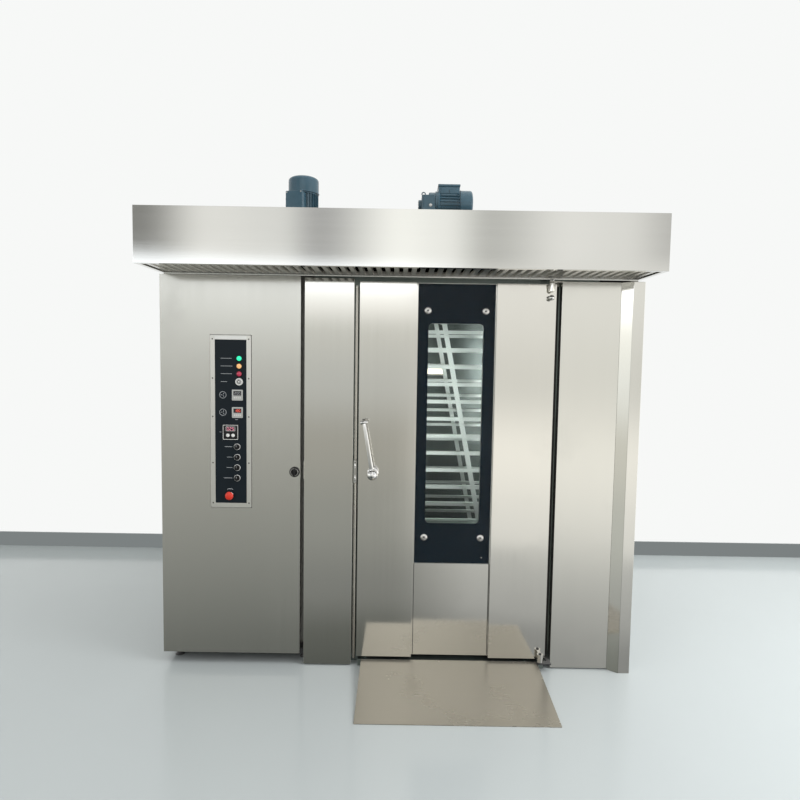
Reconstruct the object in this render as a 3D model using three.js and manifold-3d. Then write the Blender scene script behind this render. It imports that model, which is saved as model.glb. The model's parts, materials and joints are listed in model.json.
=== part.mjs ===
// Rotating rack oven: a steam hood over a row of steel panels, a windowed chamber door,
// a control cabinet, a hanging tray rack turned from the roof and an air circulation fan.
// Millimetres, +Z up, +X to the right seen from the front, the front faces -Y.
import * as THREE from 'three';
import { mergeVertices } from 'three/addons/utils/BufferGeometryUtils.js';
import Module from 'manifold-3d';

const wasm = await Module();
wasm.setup();

// ---------------------------------------------------------------- driving dimensions

// Clearances
const seam = 0.3; // between pieces that touch
const shaftPlay = 4; // round a shaft where it passes a wall

// Row of front panels, left to right
const cabinetDoorWidth = 674;
const cabinetGap = 19;
const ductPanelWidth = 236;
const doorGap = 27;
const doorWidth = 936;
const rightPanelWidth = 281;
const wingWidth = 100;

// Casing
const bodyDepth = 1520;
const roofHeight = 2100;
const casingSheet = 3;
const panelSheet = 2;
const panelDepth = 54; // how far the front panels fold back
const panelsBelowRoof = 195;
const panelClearance = 6; // under the front panels
const cabinetDoorBottom = 58;
const cabinetDoorOverPanels = 7;
const cabinetDoorDepth = 24;
const flangeWidth = 38; // folded edge of a side panel

// Right corner wing
const wingFlank = 45; // sideways run of its sloping flank
const wingProud = 35; // ahead of the front panels

// Ramp
const rampLength = 480;
const rampWidth = 873;
const rampFromDoorEdge = 24;
const rampRise = 35;
const rampPlate = 4;
const rampToe = 4;

// Hood
const hoodOverPanels = 14;
const hoodHeight = 245;
const hoodOverhang = 280;
const hoodLip = 22;
const hoodLipDrop = 6;
const hoodHeaderProud = 4;
const slatPitch = 40;
const slatWidth = 25;
const slatSheet = 1.6;
const slatHeight = 12;
const slatFold = 5; // how far a channel's sides lean
const baffleRim = 14;
const baffleCount = 3;

// Baking chamber
const chamberWidth = 1240;
const chamberFront = 115; // behind the front panels
const rackFromFront = 780; // rack axis behind the front panels
const rackToRearWall = 600;
const wallThickness = 70;
const floorThickness = 33;
const ductSheet = 3;
const airSlotWidth = 16;
const airSlotHeight = 320;
const airSlotColumns = 5;
const airSlotRows = 4;

// Door frame
const frameThickness = 60;
const openingFromDoorLeft = 34;
const openingFromDoorRight = 70;
const openingBelowPanels = 37;

// Air duct housing and fan
const housingWidth = 510;
const housingWall = 60;
const housingBottom = 58;
const fanFromHousingEdge = 272;
const fanFromFront = 755;
const impellerRadius = 190;
const impellerInlet = 122;
const impellerBelowChamberTop = 115;
const impellerHeight = 150;
const impellerSheet = 4;
const bladeCount = 10;
const bladeSweep = 0.55; // radians that a blade leans back
const fanShaftRadius = 14;
const fanHubRadius = 34;

// Base frame
const baseDepth = 28;
const footInset = 36;
const footRadius = 24;

// Oven door
const doorBottom = 50;
const doorBelowPanels = 13;
const leafThickness = 42;
const recessDepth = 26;
const leftFacetWidth = 271;
const recessWidth = 383;
const windowLeft = 130; // X of the hole through the door
const windowRight = 408;
const windowBottom = 715;
const windowBelowDoorTop = 187;
const windowRadius = 18;
const glassBottom = 519;
const glassMargin = 7;
const glassThickness = 6;
const glassBoltInset = 48;
const glassBoltRadius = 17;
const glassBoltHead = 7;
const glassBoltLow = 651;
const glassBoltBelowDoorTop = 132;
const gasketThickness = 11;
const gasketWidth = 14;
const gasketInset = 8;
const linerDepth = 62;
const linerClearance = 12;
const innerGlassOverlap = 14;

// Oven door hinges
const hingeFromDoorRight = 30;
const hingeProud = 28; // axis ahead of the front panels
const hingePinRadius = 7;
const hingeEyeRadius = 15;
const hingeEyeHeight = 38;
const hingeArm = 8;

// Oven door handle
const handleFromDoorEdge = 72;
const handleHeight = 973;
const roseRadius = 27;
const roseThickness = 12;
const hubRadius = 26;
const hubProud = 62;
const spindleRadius = 9;
const leverLength = 254;
const leverLean = 0.17; // radians to the left of upright
const leverWidth = 21;
const leverThickness = 9;
const leverTipRadius = 8;
const leverTipWidth = 36;

// Keeper post between the duct panel and the door
const postWidth = 16;
const postProud = 4;
const postBottom = 36;
const postBelowPanels = 33;
const keeperBottom = 920;
const keeperTop = 1034;

// Cabinet door hinge barrels
const barrelRadius = 3.5;
const barrelLength = 36;
const barrelInset = 202; // from the cabinet door's ends

// Control panel on the cabinet door
const panelLeft = 241; // from the cabinet door's hinge edge
const panelWidth = 196;
const panelBottom = 791;
const panelHeight = 836;
const panelRim = 22;
const panelRimProud = 5;
const plateThickness = 4;
const selectorRadius = 11;
const selectorRing = 15.5;
const selectorCount = 4;
const selectorPitch = 51;
const selectorDrop = 71; // timer to the first selector
const selectorFromPanel = 128;
const stopDrop = 85;
const stopFromPanel = 93;
const stopRadius = 20;
const stopTravel = 5;
const lampFromPanel = 139;
const lampDrop = 111; // panel's top edge to the first lamp
const lampPitch = 37;
const lampCount = 3;
const lampRadius = 13.5;
const buzzerDrop = 38;
const buzzerRadius = 17.5;
const displaySize = 52;
const displayDrop = 64; // buzzer to the upper display
const displayPitch = 84;
const displayFromPanel = 131;
const timerWidth = 75;
const timerTall = 73;
const timerDrop = 96;
const timerCanDepth = 70;
const displayCanDepth = 60;
const timerFromPanel = 98;
const lockFromEdge = 27;
const lockHeight = 970;
const lockRadius = 25;
const camWidth = 14;
const camReach = 42;
const camThickness = 3;
const camClearance = 2; // behind the strike
const strikeReach = 11; // into the gap beside the cabinet door
const strikeTall = 90;

// Mounting plate in the electrical bay
const bayPlateFromChamberFront = 75;
const bayPlateSheet = 3;
const bayPlateBottom = 620;
const bayPlateBelowWallTop = 275;
const bayRowCount = 3;
const bayRowPitch = 320;
const bayRailHeight = 35;
const bayRailDepth = 10;
const switchUnitWidth = 44;
const switchUnitGap = 8;
const switchUnitsPerRow = 4;
const switchBodyDepth = 53;
const switchNoseDepth = 14;
const switchBodyHeight = 78;
const switchNoseHeight = 42;

// Tray rack
const rackWidth = 880;
const rackDepth = 666;
const rackTube = 30;
const rackBelowChamberTop = 115;
const rackBottom = 166;
const levelCount = 16;
const firstLevel = 232;
const topLevelBelowRackTop = 103;
const runnerSheet = 3;
const runnerLedge = 25;
const runnerWeb = 20;
const braceWidth = 27;
const braceThickness = 4;
const braceTopX = -42; // from the rack axis
const braceBottomX = 268;
const hangerShaftRadius = 20;
const hangerShaftOverTable = 18;
const yokeHeight = 34;
const yokeWidth = 50;
const yokeGap = 42; // yoke above the rack's top rails
const hookSpacing = 300;
const hookThickness = 14;

// Casters
const casterX = 375;
const casterY = 245;
const wheelRadius = 50;
const wheelWidth = 32;
const wheelClearance = 12; // hung wheels above the chamber floor
const casterTrail = 28;
const forkSheet = 4;
const axleRadius = 6;
const kingPinRadius = 8;

// Drives on the roof
const standPlate = 12;
const standLeg = 40;
const standLegSheet = 5;
const driveStandDepth = 240;
const driveStandHeight = 160;
const chainCaseHeight = 58;
const chainCaseRadius = 74;
const driveStandMargin = 60;
const gearboxWidth = 84;
const gearboxDepth = 140;
const gearboxFootWidth = 120;
const gearboxOverAxis = 39;
const gearboxFlangeRadius = 74;
const gearboxFlangeEnd = 58; // right of the output
const gearboxFlangeRing = 12;
const gearboxNeckRadius = 68;
const gearboxCoverRadius = 34;
const gearboxCoverDrop = 10;
const gearboxFootThickness = 14;
const gearboxFromRack = 124; // gearbox output left of the rack axis
const motorAxisOverRoof = 350;
const gearmotorRadius = 70;
const gearmotorLength = 135;
const gearmotorCowlRadius = 82;
const gearmotorCowlLength = 76;
const motorFinCount = 14;
const motorFinHeight = 9;
const motorFinThickness = 3.2;
const terminalBoxWidth = 125;
const terminalBoxOverAxis = 105;
const terminalBoxDepth = 108;
const terminalLid = 13;
const terminalLidRim = 4;
const fanStandHeight = 140;
const fanMotorRadius = 78;
const fanMotorBodyOverRoof = 388;
const fanMotorCowlHeight = 98;
const fanMotorFlangeRadius = 100;
const fanMotorFlange = 14;
const fanTerminalBoxOverFoot = 60;
const fanTerminalBoxWidth = 96;
const fanTerminalBoxReach = 46; // beyond the motor's frame
const fanTerminalBoxTurn = -2.3; // radians about the motor's axis
const fanStandWidth = 230;
const fanCowlRadius = 90.5;
const motorSocket = 6; // how far a shaft reaches into its drive

// ---------------------------------------------------------------- derived places

const bodyWidth = cabinetDoorWidth + cabinetGap + ductPanelWidth + doorGap + doorWidth
  + doorGap + rightPanelWidth + wingWidth;
const leftX = -bodyWidth / 2;
const rightX = bodyWidth / 2;
const frontY = rampLength - (rampLength + bodyDepth) / 2;
const rearY = frontY + bodyDepth;

const cabinetDoorRight = leftX + cabinetDoorWidth;
const ductPanelLeft = cabinetDoorRight + cabinetGap;
const ductPanelRight = ductPanelLeft + ductPanelWidth;
const doorLeft = ductPanelRight + doorGap;
const doorRight = doorLeft + doorWidth;
const rightPanelLeft = doorRight + doorGap;
const rightPanelRight = rightPanelLeft + rightPanelWidth;
const panelBackY = frontY + panelDepth + seam; // front face of the door frame

const panelTop = roofHeight - panelsBelowRoof;
const cabinetDoorTop = panelTop + cabinetDoorOverPanels;
const hoodBottom = panelTop + hoodOverPanels;
const chamberTop = panelTop;
const openingTop = panelTop - openingBelowPanels;
const doorTop = panelTop - doorBelowPanels;
const windowTop = doorTop - windowBelowDoorTop;
const postTop = panelTop - postBelowPanels;
const barrelHeights = [
  cabinetDoorBottom + barrelInset, (cabinetDoorBottom + cabinetDoorTop) / 2, cabinetDoorTop - barrelInset,
];

const panelTopEdge = panelBottom + panelHeight;
const lampHeights = countDown(panelTopEdge - lampDrop, lampPitch, lampCount);
const buzzerHeight = lampHeights[lampCount - 1] - buzzerDrop;
const displayHeights = countDown(buzzerHeight - displayDrop, displayPitch, 2);
const timerHeight = displayHeights[1] - timerDrop;
const selectorHeights = countDown(timerHeight - selectorDrop, selectorPitch, selectorCount);
const stopHeight = selectorHeights[selectorCount - 1] - stopDrop;

const rackX = (doorLeft + doorRight) / 2;
const rackY = frontY + rackFromFront;
const chamberLeft = rackX - chamberWidth / 2;
const chamberRight = rackX + chamberWidth / 2;
const chamberFrontY = frontY + chamberFront;
const chamberRearY = rackY + rackToRearWall;
const openingLeft = doorLeft + openingFromDoorLeft;
const openingRight = doorRight - openingFromDoorRight;
const wallTop = chamberTop + wallThickness;
const rackTop = chamberTop - rackBelowChamberTop;
const levelPitch = (rackTop - topLevelBelowRackTop - firstLevel) / (levelCount - 1);

const housingRight = chamberLeft - ductSheet;
const housingLeft = housingRight - housingWidth;
const fanX = housingLeft + fanFromHousingEdge;
const fanY = frontY + fanFromFront;
const impellerTop = chamberTop - impellerBelowChamberTop;

const hingeX = doorRight - hingeFromDoorRight;
const hingeY = frontY - hingeProud;
const leafBackY = frontY + leafThickness;
const strikeBackY = panelBackY - seam;
const barrelX = leftX + barrelRadius;
const barrelY = frontY + cabinetDoorDepth + barrelRadius;
const sidePanelFrontY = barrelY + 2 * barrelRadius;
const hoodBackY = frontY + panelDepth;
const standFoot = roofHeight + seam;
const driveTableTop = standFoot + driveStandHeight + standPlate;
const hangerShaftTop = driveTableTop + hangerShaftOverTable;
const gearboxFoot = driveTableTop + chainCaseHeight + seam;
const motorAxisHeight = roofHeight + motorAxisOverRoof;
const terminalBoxTop = motorAxisHeight + terminalBoxOverAxis;
const fanMotorFoot = standFoot + fanStandHeight + standPlate + seam;
const fanMotorBodyTop = roofHeight + fanMotorBodyOverRoof;
const fanMotorTop = fanMotorBodyTop + fanMotorCowlHeight;
const mouthBackY = frontY - hoodHeaderProud; // rear edge of the hood's open underside

function countDown(first, pitch, count) {
  return Array.from({ length: count }, (_, index) => first - index * pitch);
}

// ---------------------------------------------------------------- materials

function finish(colour, roughness, metalness, opacity = 1) {
  return new THREE.MeshStandardMaterial({
    color: colour, roughness, metalness, opacity, transparent: opacity < 1,
  });
}

const brushedSteel = finish(0xb9b5ab, 0.38, 1);
const polishedSteel = finish(0xc4c0b6, 0.16, 1);
const hoodSteel = finish(0xbcb9b0, 0.3, 1);
const liningSteel = finish(0xd2d0ca, 0.28, 1);
const rampSteel = finish(0x9a9284, 0.5, 0.9);
const frameSteel = finish(0x45464a, 0.6, 0.8);
const chrome = finish(0xdcdcdc, 0.08, 1);
const aluminium = finish(0xc3c5c7, 0.4, 1);
const blackGlass = finish(0x12171c, 0.05, 0, 0.55);
const clearGlass = finish(0xdfe6e4, 0.03, 0, 0.25);
const blackPlate = finish(0x141821, 0.35, 0);
const blackPlastic = finish(0x17181b, 0.3, 0);
const greyPlastic = finish(0xb9bcb9, 0.45, 0);
const redPlastic = finish(0xc8281c, 0.35, 0);
const seal = finish(0x2a2a2b, 0.8, 0);
const tyre = finish(0x3a3a3c, 0.7, 0);
const motorPaint = finish(0x3d5666, 0.45, 0.2);
const castPaint = finish(0x3a525f, 0.55, 0.2);

// ---------------------------------------------------------------- geometry helpers

function block([x0, x1], [y0, y1], [z0, z1]) {
  const geometry = new THREE.BoxGeometry(x1 - x0, y1 - y0, z1 - z0);
  return geometry.translate((x0 + x1) / 2, (y0 + y1) / 2, (z0 + z1) / 2);
}

function ordered(a, b) {
  return [Math.min(a, b), Math.max(a, b)];
}

function outline(points) {
  return new THREE.Shape(points.map(([x, y]) => new THREE.Vector2(x, y)));
}

function roundedRectangle([x0, x1], [y0, y1], radius) {
  const shape = new THREE.Shape();
  shape.moveTo(x0 + radius, y0);
  shape.absarc(x1 - radius, y0 + radius, radius, -Math.PI / 2, 0);
  shape.absarc(x1 - radius, y1 - radius, radius, 0, Math.PI / 2);
  shape.absarc(x0 + radius, y1 - radius, radius, Math.PI / 2, Math.PI);
  shape.absarc(x0 + radius, y0 + radius, radius, Math.PI, 1.5 * Math.PI);
  return shape;
}

function extrude(shape, depth, curveSegments = 6) {
  return new THREE.ExtrudeGeometry(shape, { depth, bevelEnabled: false, curveSegments });
}

// A plan outline (X, Y) pulled up in Z
function pullZ(shape, [z0, z1], curveSegments) {
  return extrude(shape, z1 - z0, curveSegments).translate(0, 0, z0);
}

// A side outline (Y, Z) pulled along X
function pullX(shape, [x0, x1], curveSegments) {
  const turn = new THREE.Matrix4().makeBasis(
    new THREE.Vector3(0, 1, 0), new THREE.Vector3(0, 0, 1), new THREE.Vector3(1, 0, 0));
  return extrude(shape, x1 - x0, curveSegments).applyMatrix4(turn).translate(x0, 0, 0);
}

// A front outline (X, Z) pulled along Y
function pullY(shape, [y0, y1], curveSegments) {
  return extrude(shape, y1 - y0, curveSegments).rotateX(Math.PI / 2).translate(0, y1, 0);
}

function rodZ(radius, [x, y], [z0, z1], segments = 24) {
  const geometry = new THREE.CylinderGeometry(radius, radius, z1 - z0, segments);
  return geometry.rotateX(Math.PI / 2).translate(x, y, (z0 + z1) / 2);
}

function rodY(radius, [x, z], [y0, y1], segments = 24) {
  const geometry = new THREE.CylinderGeometry(radius, radius, y1 - y0, segments);
  return geometry.translate(x, (y0 + y1) / 2, z);
}

function rodX(radius, [y, z], [x0, x1], segments = 24) {
  const geometry = new THREE.CylinderGeometry(radius, radius, x1 - x0, segments);
  return geometry.rotateZ(Math.PI / 2).translate((x0 + x1) / 2, y, z);
}

// A profile of [radius, height] pairs turned about the Z axis
function turned(profile, segments = 28) {
  const points = profile.map(([radius, height]) => new THREE.Vector2(radius, height));
  return new THREE.LatheGeometry(points, segments).rotateX(Math.PI / 2);
}

function toSolid(geometry) {
  const bare = geometry.clone();
  bare.deleteAttribute('normal');
  bare.deleteAttribute('uv');
  const merged = mergeVertices(bare);
  return new wasm.Manifold(new wasm.Mesh({
    numProp: 3,
    vertProperties: new Float32Array(merged.getAttribute('position').array),
    triVerts: new Uint32Array(merged.index.array),
  }));
}

function fromSolid(solid) {
  const { vertProperties, triVerts } = solid.getMesh();
  const geometry = new THREE.BufferGeometry();
  geometry.setAttribute('position', new THREE.BufferAttribute(vertProperties, 3));
  geometry.setIndex(new THREE.BufferAttribute(triVerts, 1));
  geometry.computeVertexNormals();
  return geometry;
}

function join(...geometries) {
  return fromSolid(geometries.map(toSolid).reduce((whole, next) => whole.add(next)));
}

function cut(body, ...tools) {
  const removed = tools.map(toSolid).reduce((whole, next) => whole.add(next));
  return fromSolid(toSolid(body).subtract(removed));
}

function piece(name, geometry, material) {
  const mesh = new THREE.Mesh(geometry, material);
  mesh.name = name;
  return mesh;
}

function assembly([x, y, z], ...members) {
  const group = new THREE.Group();
  group.position.set(x, y, z);
  group.add(...members);
  return group;
}

// A sheet pan: a tray with folded walls, open to the rear
function rearPan([x0, x1], [y0, y1], [z0, z1], wall) {
  const outer = block([x0, x1], [y0, y1], [z0, z1]);
  const pocket = block([x0 + wall, x1 - wall], [y0 + wall, y1 + wall], [z0 + wall, z1 - wall]);
  return cut(outer, pocket);
}

function span(centre, size) {
  return [centre - size / 2, centre + size / 2];
}

// ---------------------------------------------------------------- base and casing

// A folded pan, open below, on four feet
function baseFrame() {
  const x = [leftX + 10, chamberLeft - wallThickness - 14];
  const y = [panelBackY + 6, rearY - 10];
  const z = [housingBottom - baseDepth - seam, housingBottom - seam];
  const pocket = block([x[0] + casingSheet, x[1] - casingSheet], [y[0] + casingSheet, y[1] - casingSheet],
    [z[0] - 1, z[1] - casingSheet]);
  const pan = cut(block(x, y, z), pocket);
  const feet = [];
  for (const footX of [x[0] + footInset, x[1] - footInset]) {
    for (const footY of [y[0] + footInset, y[1] - footInset]) {
      feet.push(turnedFoot(z[1] - casingSheet / 2).translate(footX, footY, 0));
    }
  }
  return piece('base_frame', join(pan, ...feet), frameSteel);
}

function turnedFoot(height) {
  const stem = footRadius / 3;
  const pad = 8;
  return turned([[0, 0], [footRadius, 0], [stem, 2 * pad], [stem, height], [0, height]], 10);
}

function sidePanelProfile(outerX, inward, frontEdge) {
  const back = rearY - casingSheet - seam;
  const inner = outerX + inward * casingSheet;
  const lip = outerX + inward * flangeWidth;
  return outline([
    [outerX, frontEdge], [lip, frontEdge], [lip, frontEdge + casingSheet],
    [inner, frontEdge + casingSheet], [inner, back - casingSheet], [lip, back - casingSheet],
    [lip, back], [outerX, back],
  ]);
}

function leftSidePanel() {
  const z = [cabinetDoorBottom, roofHeight - casingSheet - seam];
  const skin = pullZ(sidePanelProfile(leftX, 1, sidePanelFrontY), z);
  const barrels = barrelHeights.flatMap((height) => [-1, 1].map((side) => {
    const centre = height + side * (barrelLength + seam);
    const reach = [height + side * (barrelLength / 2 + seam), height + side * (1.5 * barrelLength + seam)];
    const rows = [Math.min(...reach), Math.max(...reach)];
    const knuckle = rodZ(barrelRadius, [barrelX, barrelY], rows, 8);
    const tab = block([barrelX - 1.5, barrelX + 1.5], [barrelY, sidePanelFrontY + 1],
      span(centre, barrelLength - 2));
    return join(knuckle, tab);
  }));
  const hoodNotch = block([leftX - 1, leftX + flangeWidth + 1], [sidePanelFrontY - 1, hoodBackY + seam],
    [hoodBottom - hoodLipDrop - 2, roofHeight]);
  return piece('left_side_panel', join(cut(skin, hoodNotch), ...barrels), brushedSteel);
}

function rightSidePanel() {
  const z = [panelClearance, roofHeight - casingSheet - seam];
  const skin = pullZ(sidePanelProfile(rightX, -1, panelBackY + seam), z);
  return piece('right_side_panel', skin, brushedSteel);
}

function rearPanel() {
  const y = [rearY - casingSheet, rearY];
  const skin = block([leftX, rightX], y, [cabinetDoorBottom, roofHeight]);
  const grooveCount = 2;
  const grooveWidth = 6;
  const grooves = [];
  for (let index = 1; index <= grooveCount; index += 1) {
    const x = leftX + (index * bodyWidth) / (grooveCount + 1);
    grooves.push(block(span(x, grooveWidth), [rearY - casingSheet / 2, rearY + 1], [0, roofHeight + 1]));
  }
  return piece('rear_panel', cut(skin, ...grooves), brushedSteel);
}

function roofPanel() {
  const y = [hoodBackY + seam, rearY - casingSheet - seam];
  const z = [roofHeight - casingSheet, roofHeight];
  const shaftHole = hangerShaftRadius + 5 * shaftPlay;
  const sheet = cut(
    block([leftX, rightX], y, z),
    rodZ(shaftHole, [rackX, rackY], [z[0] - 1, z[1] + 1]),
    rodZ(shaftHole, [fanX, fanY], [z[0] - 1, z[1] + 1]),
  );
  const frontFlange = block([leftX + flangeWidth, rightX - flangeWidth], [y[0], y[0] + casingSheet],
    [z[0] - flangeWidth, z[0] + 1]);
  return piece('roof_panel', join(sheet, frontFlange), brushedSteel);
}

// A folded pan with the strike that the cabinet lock's cam turns behind
function ductFrontPanel() {
  const pan = rearPan([ductPanelLeft, ductPanelRight], [frontY, strikeBackY],
    [panelClearance, panelTop], panelSheet);
  const strikeX = [ductPanelLeft - strikeReach, ductPanelLeft + 1];
  const strike = block(strikeX, [strikeBackY - panelSheet, strikeBackY], span(lockHeight, strikeTall));
  return piece('duct_front_panel', join(pan, strike), polishedSteel);
}

function rightFrontPanel() {
  const pan = rearPan([rightPanelLeft, rightPanelRight], [frontY, panelBackY - seam],
    [panelClearance, panelTop], panelSheet);
  return piece('right_front_panel', pan, polishedSteel);
}

// The bent sheet at the right corner: a sloping flank, then a face ahead of the panels
function cornerWing() {
  const x0 = rightPanelRight + seam;
  const back = panelBackY;
  const wall = casingSheet;
  const flankX = x0 + wingFlank;
  const faceY = frontY - wingProud;
  const slope = wall * Math.tan((Math.PI - Math.atan2(wingFlank, wingProud)) / 4);
  const sheet = outline([
    [x0, back], [x0, frontY], [flankX, faceY], [rightX, faceY], [rightX, back],
    [rightX - wall, back], [rightX - wall, faceY + wall], [flankX + slope, faceY + wall],
    [x0 + wall, frontY + slope], [x0 + wall, back],
  ]);
  return piece('corner_wing', pullZ(sheet, [0, panelTop]), polishedSteel);
}

function latchPost() {
  const x = span(ductPanelRight + doorGap / 2 - 1, postWidth);
  const centre = (x[0] + x[1]) / 2;
  const radius = postWidth / 2;
  const nose = frontY + postProud + radius;
  const plan = new THREE.Shape();
  plan.moveTo(x[0], panelBackY - seam);
  plan.lineTo(x[0], nose);
  plan.absarc(centre, nose, radius, Math.PI, 2 * Math.PI);
  plan.lineTo(x[1], panelBackY - seam);
  const strip = pullZ(plan, [postBottom, postTop], 5);
  const keeperProud = 8;
  const keeper = block([x[0] + 1, x[1] - 1], [frontY - keeperProud, nose], [keeperBottom, keeperTop]);
  return piece('latch_post', join(strip, keeper), chrome);
}

// ---------------------------------------------------------------- chamber

function chamberFloor() {
  const left = chamberLeft - wallThickness;
  const right = chamberRight + wallThickness;
  const slab = block([left, right], [panelBackY, chamberRearY + wallThickness], [0, floorThickness]);
  const inset = 6;
  const threshold = block([doorLeft + inset, doorRight - inset], [frontY + seam, panelBackY + 1],
    [0, floorThickness]);
  return piece('chamber_floor', join(slab, threshold), liningSteel);
}

function ductWall() {
  const x = [chamberLeft - ductSheet, chamberLeft];
  const z = [floorThickness + seam, chamberTop - seam];
  const sheet = block(x, [chamberFrontY, chamberRearY - seam], z);
  const slots = [];
  const columnPitch = (chamberRearY - chamberFrontY) / (airSlotColumns + 1);
  const rowPitch = (z[1] - z[0]) / (airSlotRows + 0.5);
  for (let column = 1; column <= airSlotColumns; column += 1) {
    for (let row = 0; row < airSlotRows; row += 1) {
      const y = span(chamberFrontY + column * columnPitch, airSlotWidth);
      const low = z[0] + (row + 0.5) * rowPitch;
      slots.push(block([x[0] - 1, x[1] + 1], y, [low, low + airSlotHeight]));
    }
  }
  return piece('duct_wall', cut(sheet, ...slots), liningSteel);
}

function chamberRightWall() {
  const slab = block([chamberRight, chamberRight + wallThickness], [chamberFrontY, chamberRearY],
    [floorThickness + seam, chamberTop]);
  return piece('chamber_right_wall', slab, liningSteel);
}

function chamberRearWall() {
  const slab = block([housingRight + seam, chamberRight + wallThickness],
    [chamberRearY + seam, chamberRearY + wallThickness], [floorThickness + seam, chamberTop]);
  return piece('chamber_rear_wall', slab, liningSteel);
}

function chamberRoof() {
  const z = [chamberTop + seam, wallTop];
  const slab = block([housingRight + seam, chamberRight + wallThickness],
    [chamberFrontY, chamberRearY + wallThickness], z);
  const shaftHole = rodZ(hangerShaftRadius + shaftPlay, [rackX, rackY], [z[0] - 1, z[1] + 1]);
  return piece('chamber_roof', cut(slab, shaftHole), liningSteel);
}

function doorFrame() {
  const y = [panelBackY, chamberFrontY - seam];
  const face = outline([
    [chamberLeft - wallThickness, floorThickness + seam], [openingLeft, floorThickness + seam],
    [openingLeft, openingTop], [openingRight, openingTop], [openingRight, floorThickness + seam],
    [chamberRight + wallThickness, floorThickness + seam], [chamberRight + wallThickness, wallTop],
    [chamberLeft - wallThickness, wallTop],
  ]);
  return piece('door_frame', pullY(face, y), liningSteel);
}

// The insulated box left of the chamber that holds the fan and the air heater, open to the chamber side
function ductHousing() {
  const x = [housingLeft, housingRight - seam];
  const y = [chamberFrontY, chamberRearY + wallThickness];
  const z = [housingBottom, wallTop];
  const wall = housingWall;
  const box = block(x, y, z);
  const room = block([x[0] + wall, x[1] + 1], [y[0] + wall, y[1] - wall], [z[0] + wall, z[1] - wall]);
  const shaftHole = rodZ(fanShaftRadius + shaftPlay, [fanX, fanY], [z[1] - wall - 1, z[1] + 1]);
  return piece('duct_housing', cut(box, room, shaftHole), liningSteel);
}

// ---------------------------------------------------------------- hood

function hoodShell() {
  const top = hoodBottom + hoodHeight;
  const front = frontY - hoodOverhang;
  const wall = casingSheet;
  const box = block([leftX, rightX], [front, hoodBackY], [hoodBottom, top]);
  const room = block([leftX + wall, rightX - wall], [front + wall, hoodBackY - wall],
    [hoodBottom + wall, top - wall]);
  const mouth = block([leftX + hoodLip, rightX - hoodLip], [front + hoodLip, mouthBackY],
    [hoodBottom - 1, hoodBottom + wall + 1]);
  const dripLip = block([leftX + hoodLip, rightX - hoodLip], [frontY, frontY + wall],
    [hoodBottom - hoodLipDrop, hoodBottom + wall / 2]);
  return piece('hood_shell', join(cut(box, room, mouth), dripLip), hoodSteel);
}

// One baffle grille: channels running front to back in a rim, laid on the hood's lips
function baffle(name, x) {
  const overlap = 8;
  const y = [frontY - hoodOverhang + hoodLip - overlap, mouthBackY + overlap];
  const z = [hoodBottom + casingSheet + seam, hoodBottom + casingSheet + seam + slatHeight + 4];
  const rim = cut(block(x, y, z),
    block([x[0] + baffleRim, x[1] - baffleRim], [y[0] + baffleRim, y[1] - baffleRim], [z[0] - 1, z[1] + 1]));
  const room = x[1] - x[0] - 2 * baffleRim;
  const count = Math.floor((room - slatPitch + slatWidth) / slatPitch);
  const first = (x[0] + x[1]) / 2 - ((count - 1) * slatPitch) / 2;
  const channels = [];
  for (let index = 0; index < count; index += 1) {
    const centre = first + index * slatPitch;
    const [left, right] = span(centre, slatWidth);
    const channel = outline([
      [left, z[0] + slatHeight], [left + slatSheet, z[0] + slatHeight],
      [left + slatFold, z[0] + slatSheet], [right - slatFold, z[0] + slatSheet],
      [right - slatSheet, z[0] + slatHeight], [right, z[0] + slatHeight],
      [right - slatFold + slatSheet, z[0]], [left + slatFold - slatSheet, z[0]],
    ]);
    channels.push(pullY(channel, [y[0] + 1, y[1] - 1]));
  }
  return piece(name, join(rim, ...channels), polishedSteel);
}

function baffles() {
  const [left, right] = [leftX + casingSheet + seam, rightX - casingSheet - seam];
  const width = (right - left) / baffleCount;
  const names = ['baffle_left', 'baffle_middle', 'baffle_right'];
  return names.map((name, index) => baffle(name, [left + index * width, left + (index + 1) * width - seam]));
}

// ---------------------------------------------------------------- ramp and hinge brackets

function ramp() {
  const x = [doorLeft + rampFromDoorEdge, doorLeft + rampFromDoorEdge + rampWidth];
  const rear = frontY;
  const toe = frontY - rampLength;
  const side = outline([[toe, 0], [toe, rampToe], [rear, rampRise], [rear, 0]]);
  const under = outline([
    [toe + 3 * rampToe, -1], [toe + 3 * rampToe, 1], [rear - rampPlate, rampRise - rampPlate - 1],
    [rear - rampPlate, -1],
  ]);
  const wedge = pullX(side, x);
  const hollow = pullX(under, [x[0] + rampPlate, x[1] - rampPlate]);
  return piece('ramp', cut(wedge, hollow), rampSteel);
}

function topHingeBracket() {
  const z0 = doorTop + 3;
  const armZ = [z0, z0 + hingeArm];
  const armX = [hingeX, rightPanelLeft - 4];
  const arm = block(armX, span(hingeY, 2 * hingeEyeRadius - 4), armZ);
  const stemX = [doorRight + 4, rightPanelLeft - 4];
  const stem = block(stemX, [hingeY, panelBackY - seam], armZ);
  const eye = rodZ(hingeEyeRadius, [hingeX, hingeY], armZ);
  const pin = rodZ(hingePinRadius, [hingeX, hingeY], [doorTop - hingeEyeHeight - 4, z0 + 1]);
  const root = block(stemX, [panelBackY - seam - 6, panelBackY - seam], [armZ[0] - 60, armZ[1]]);
  return piece('top_hinge_bracket', join(arm, stem, eye, pin, root), chrome);
}

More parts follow.
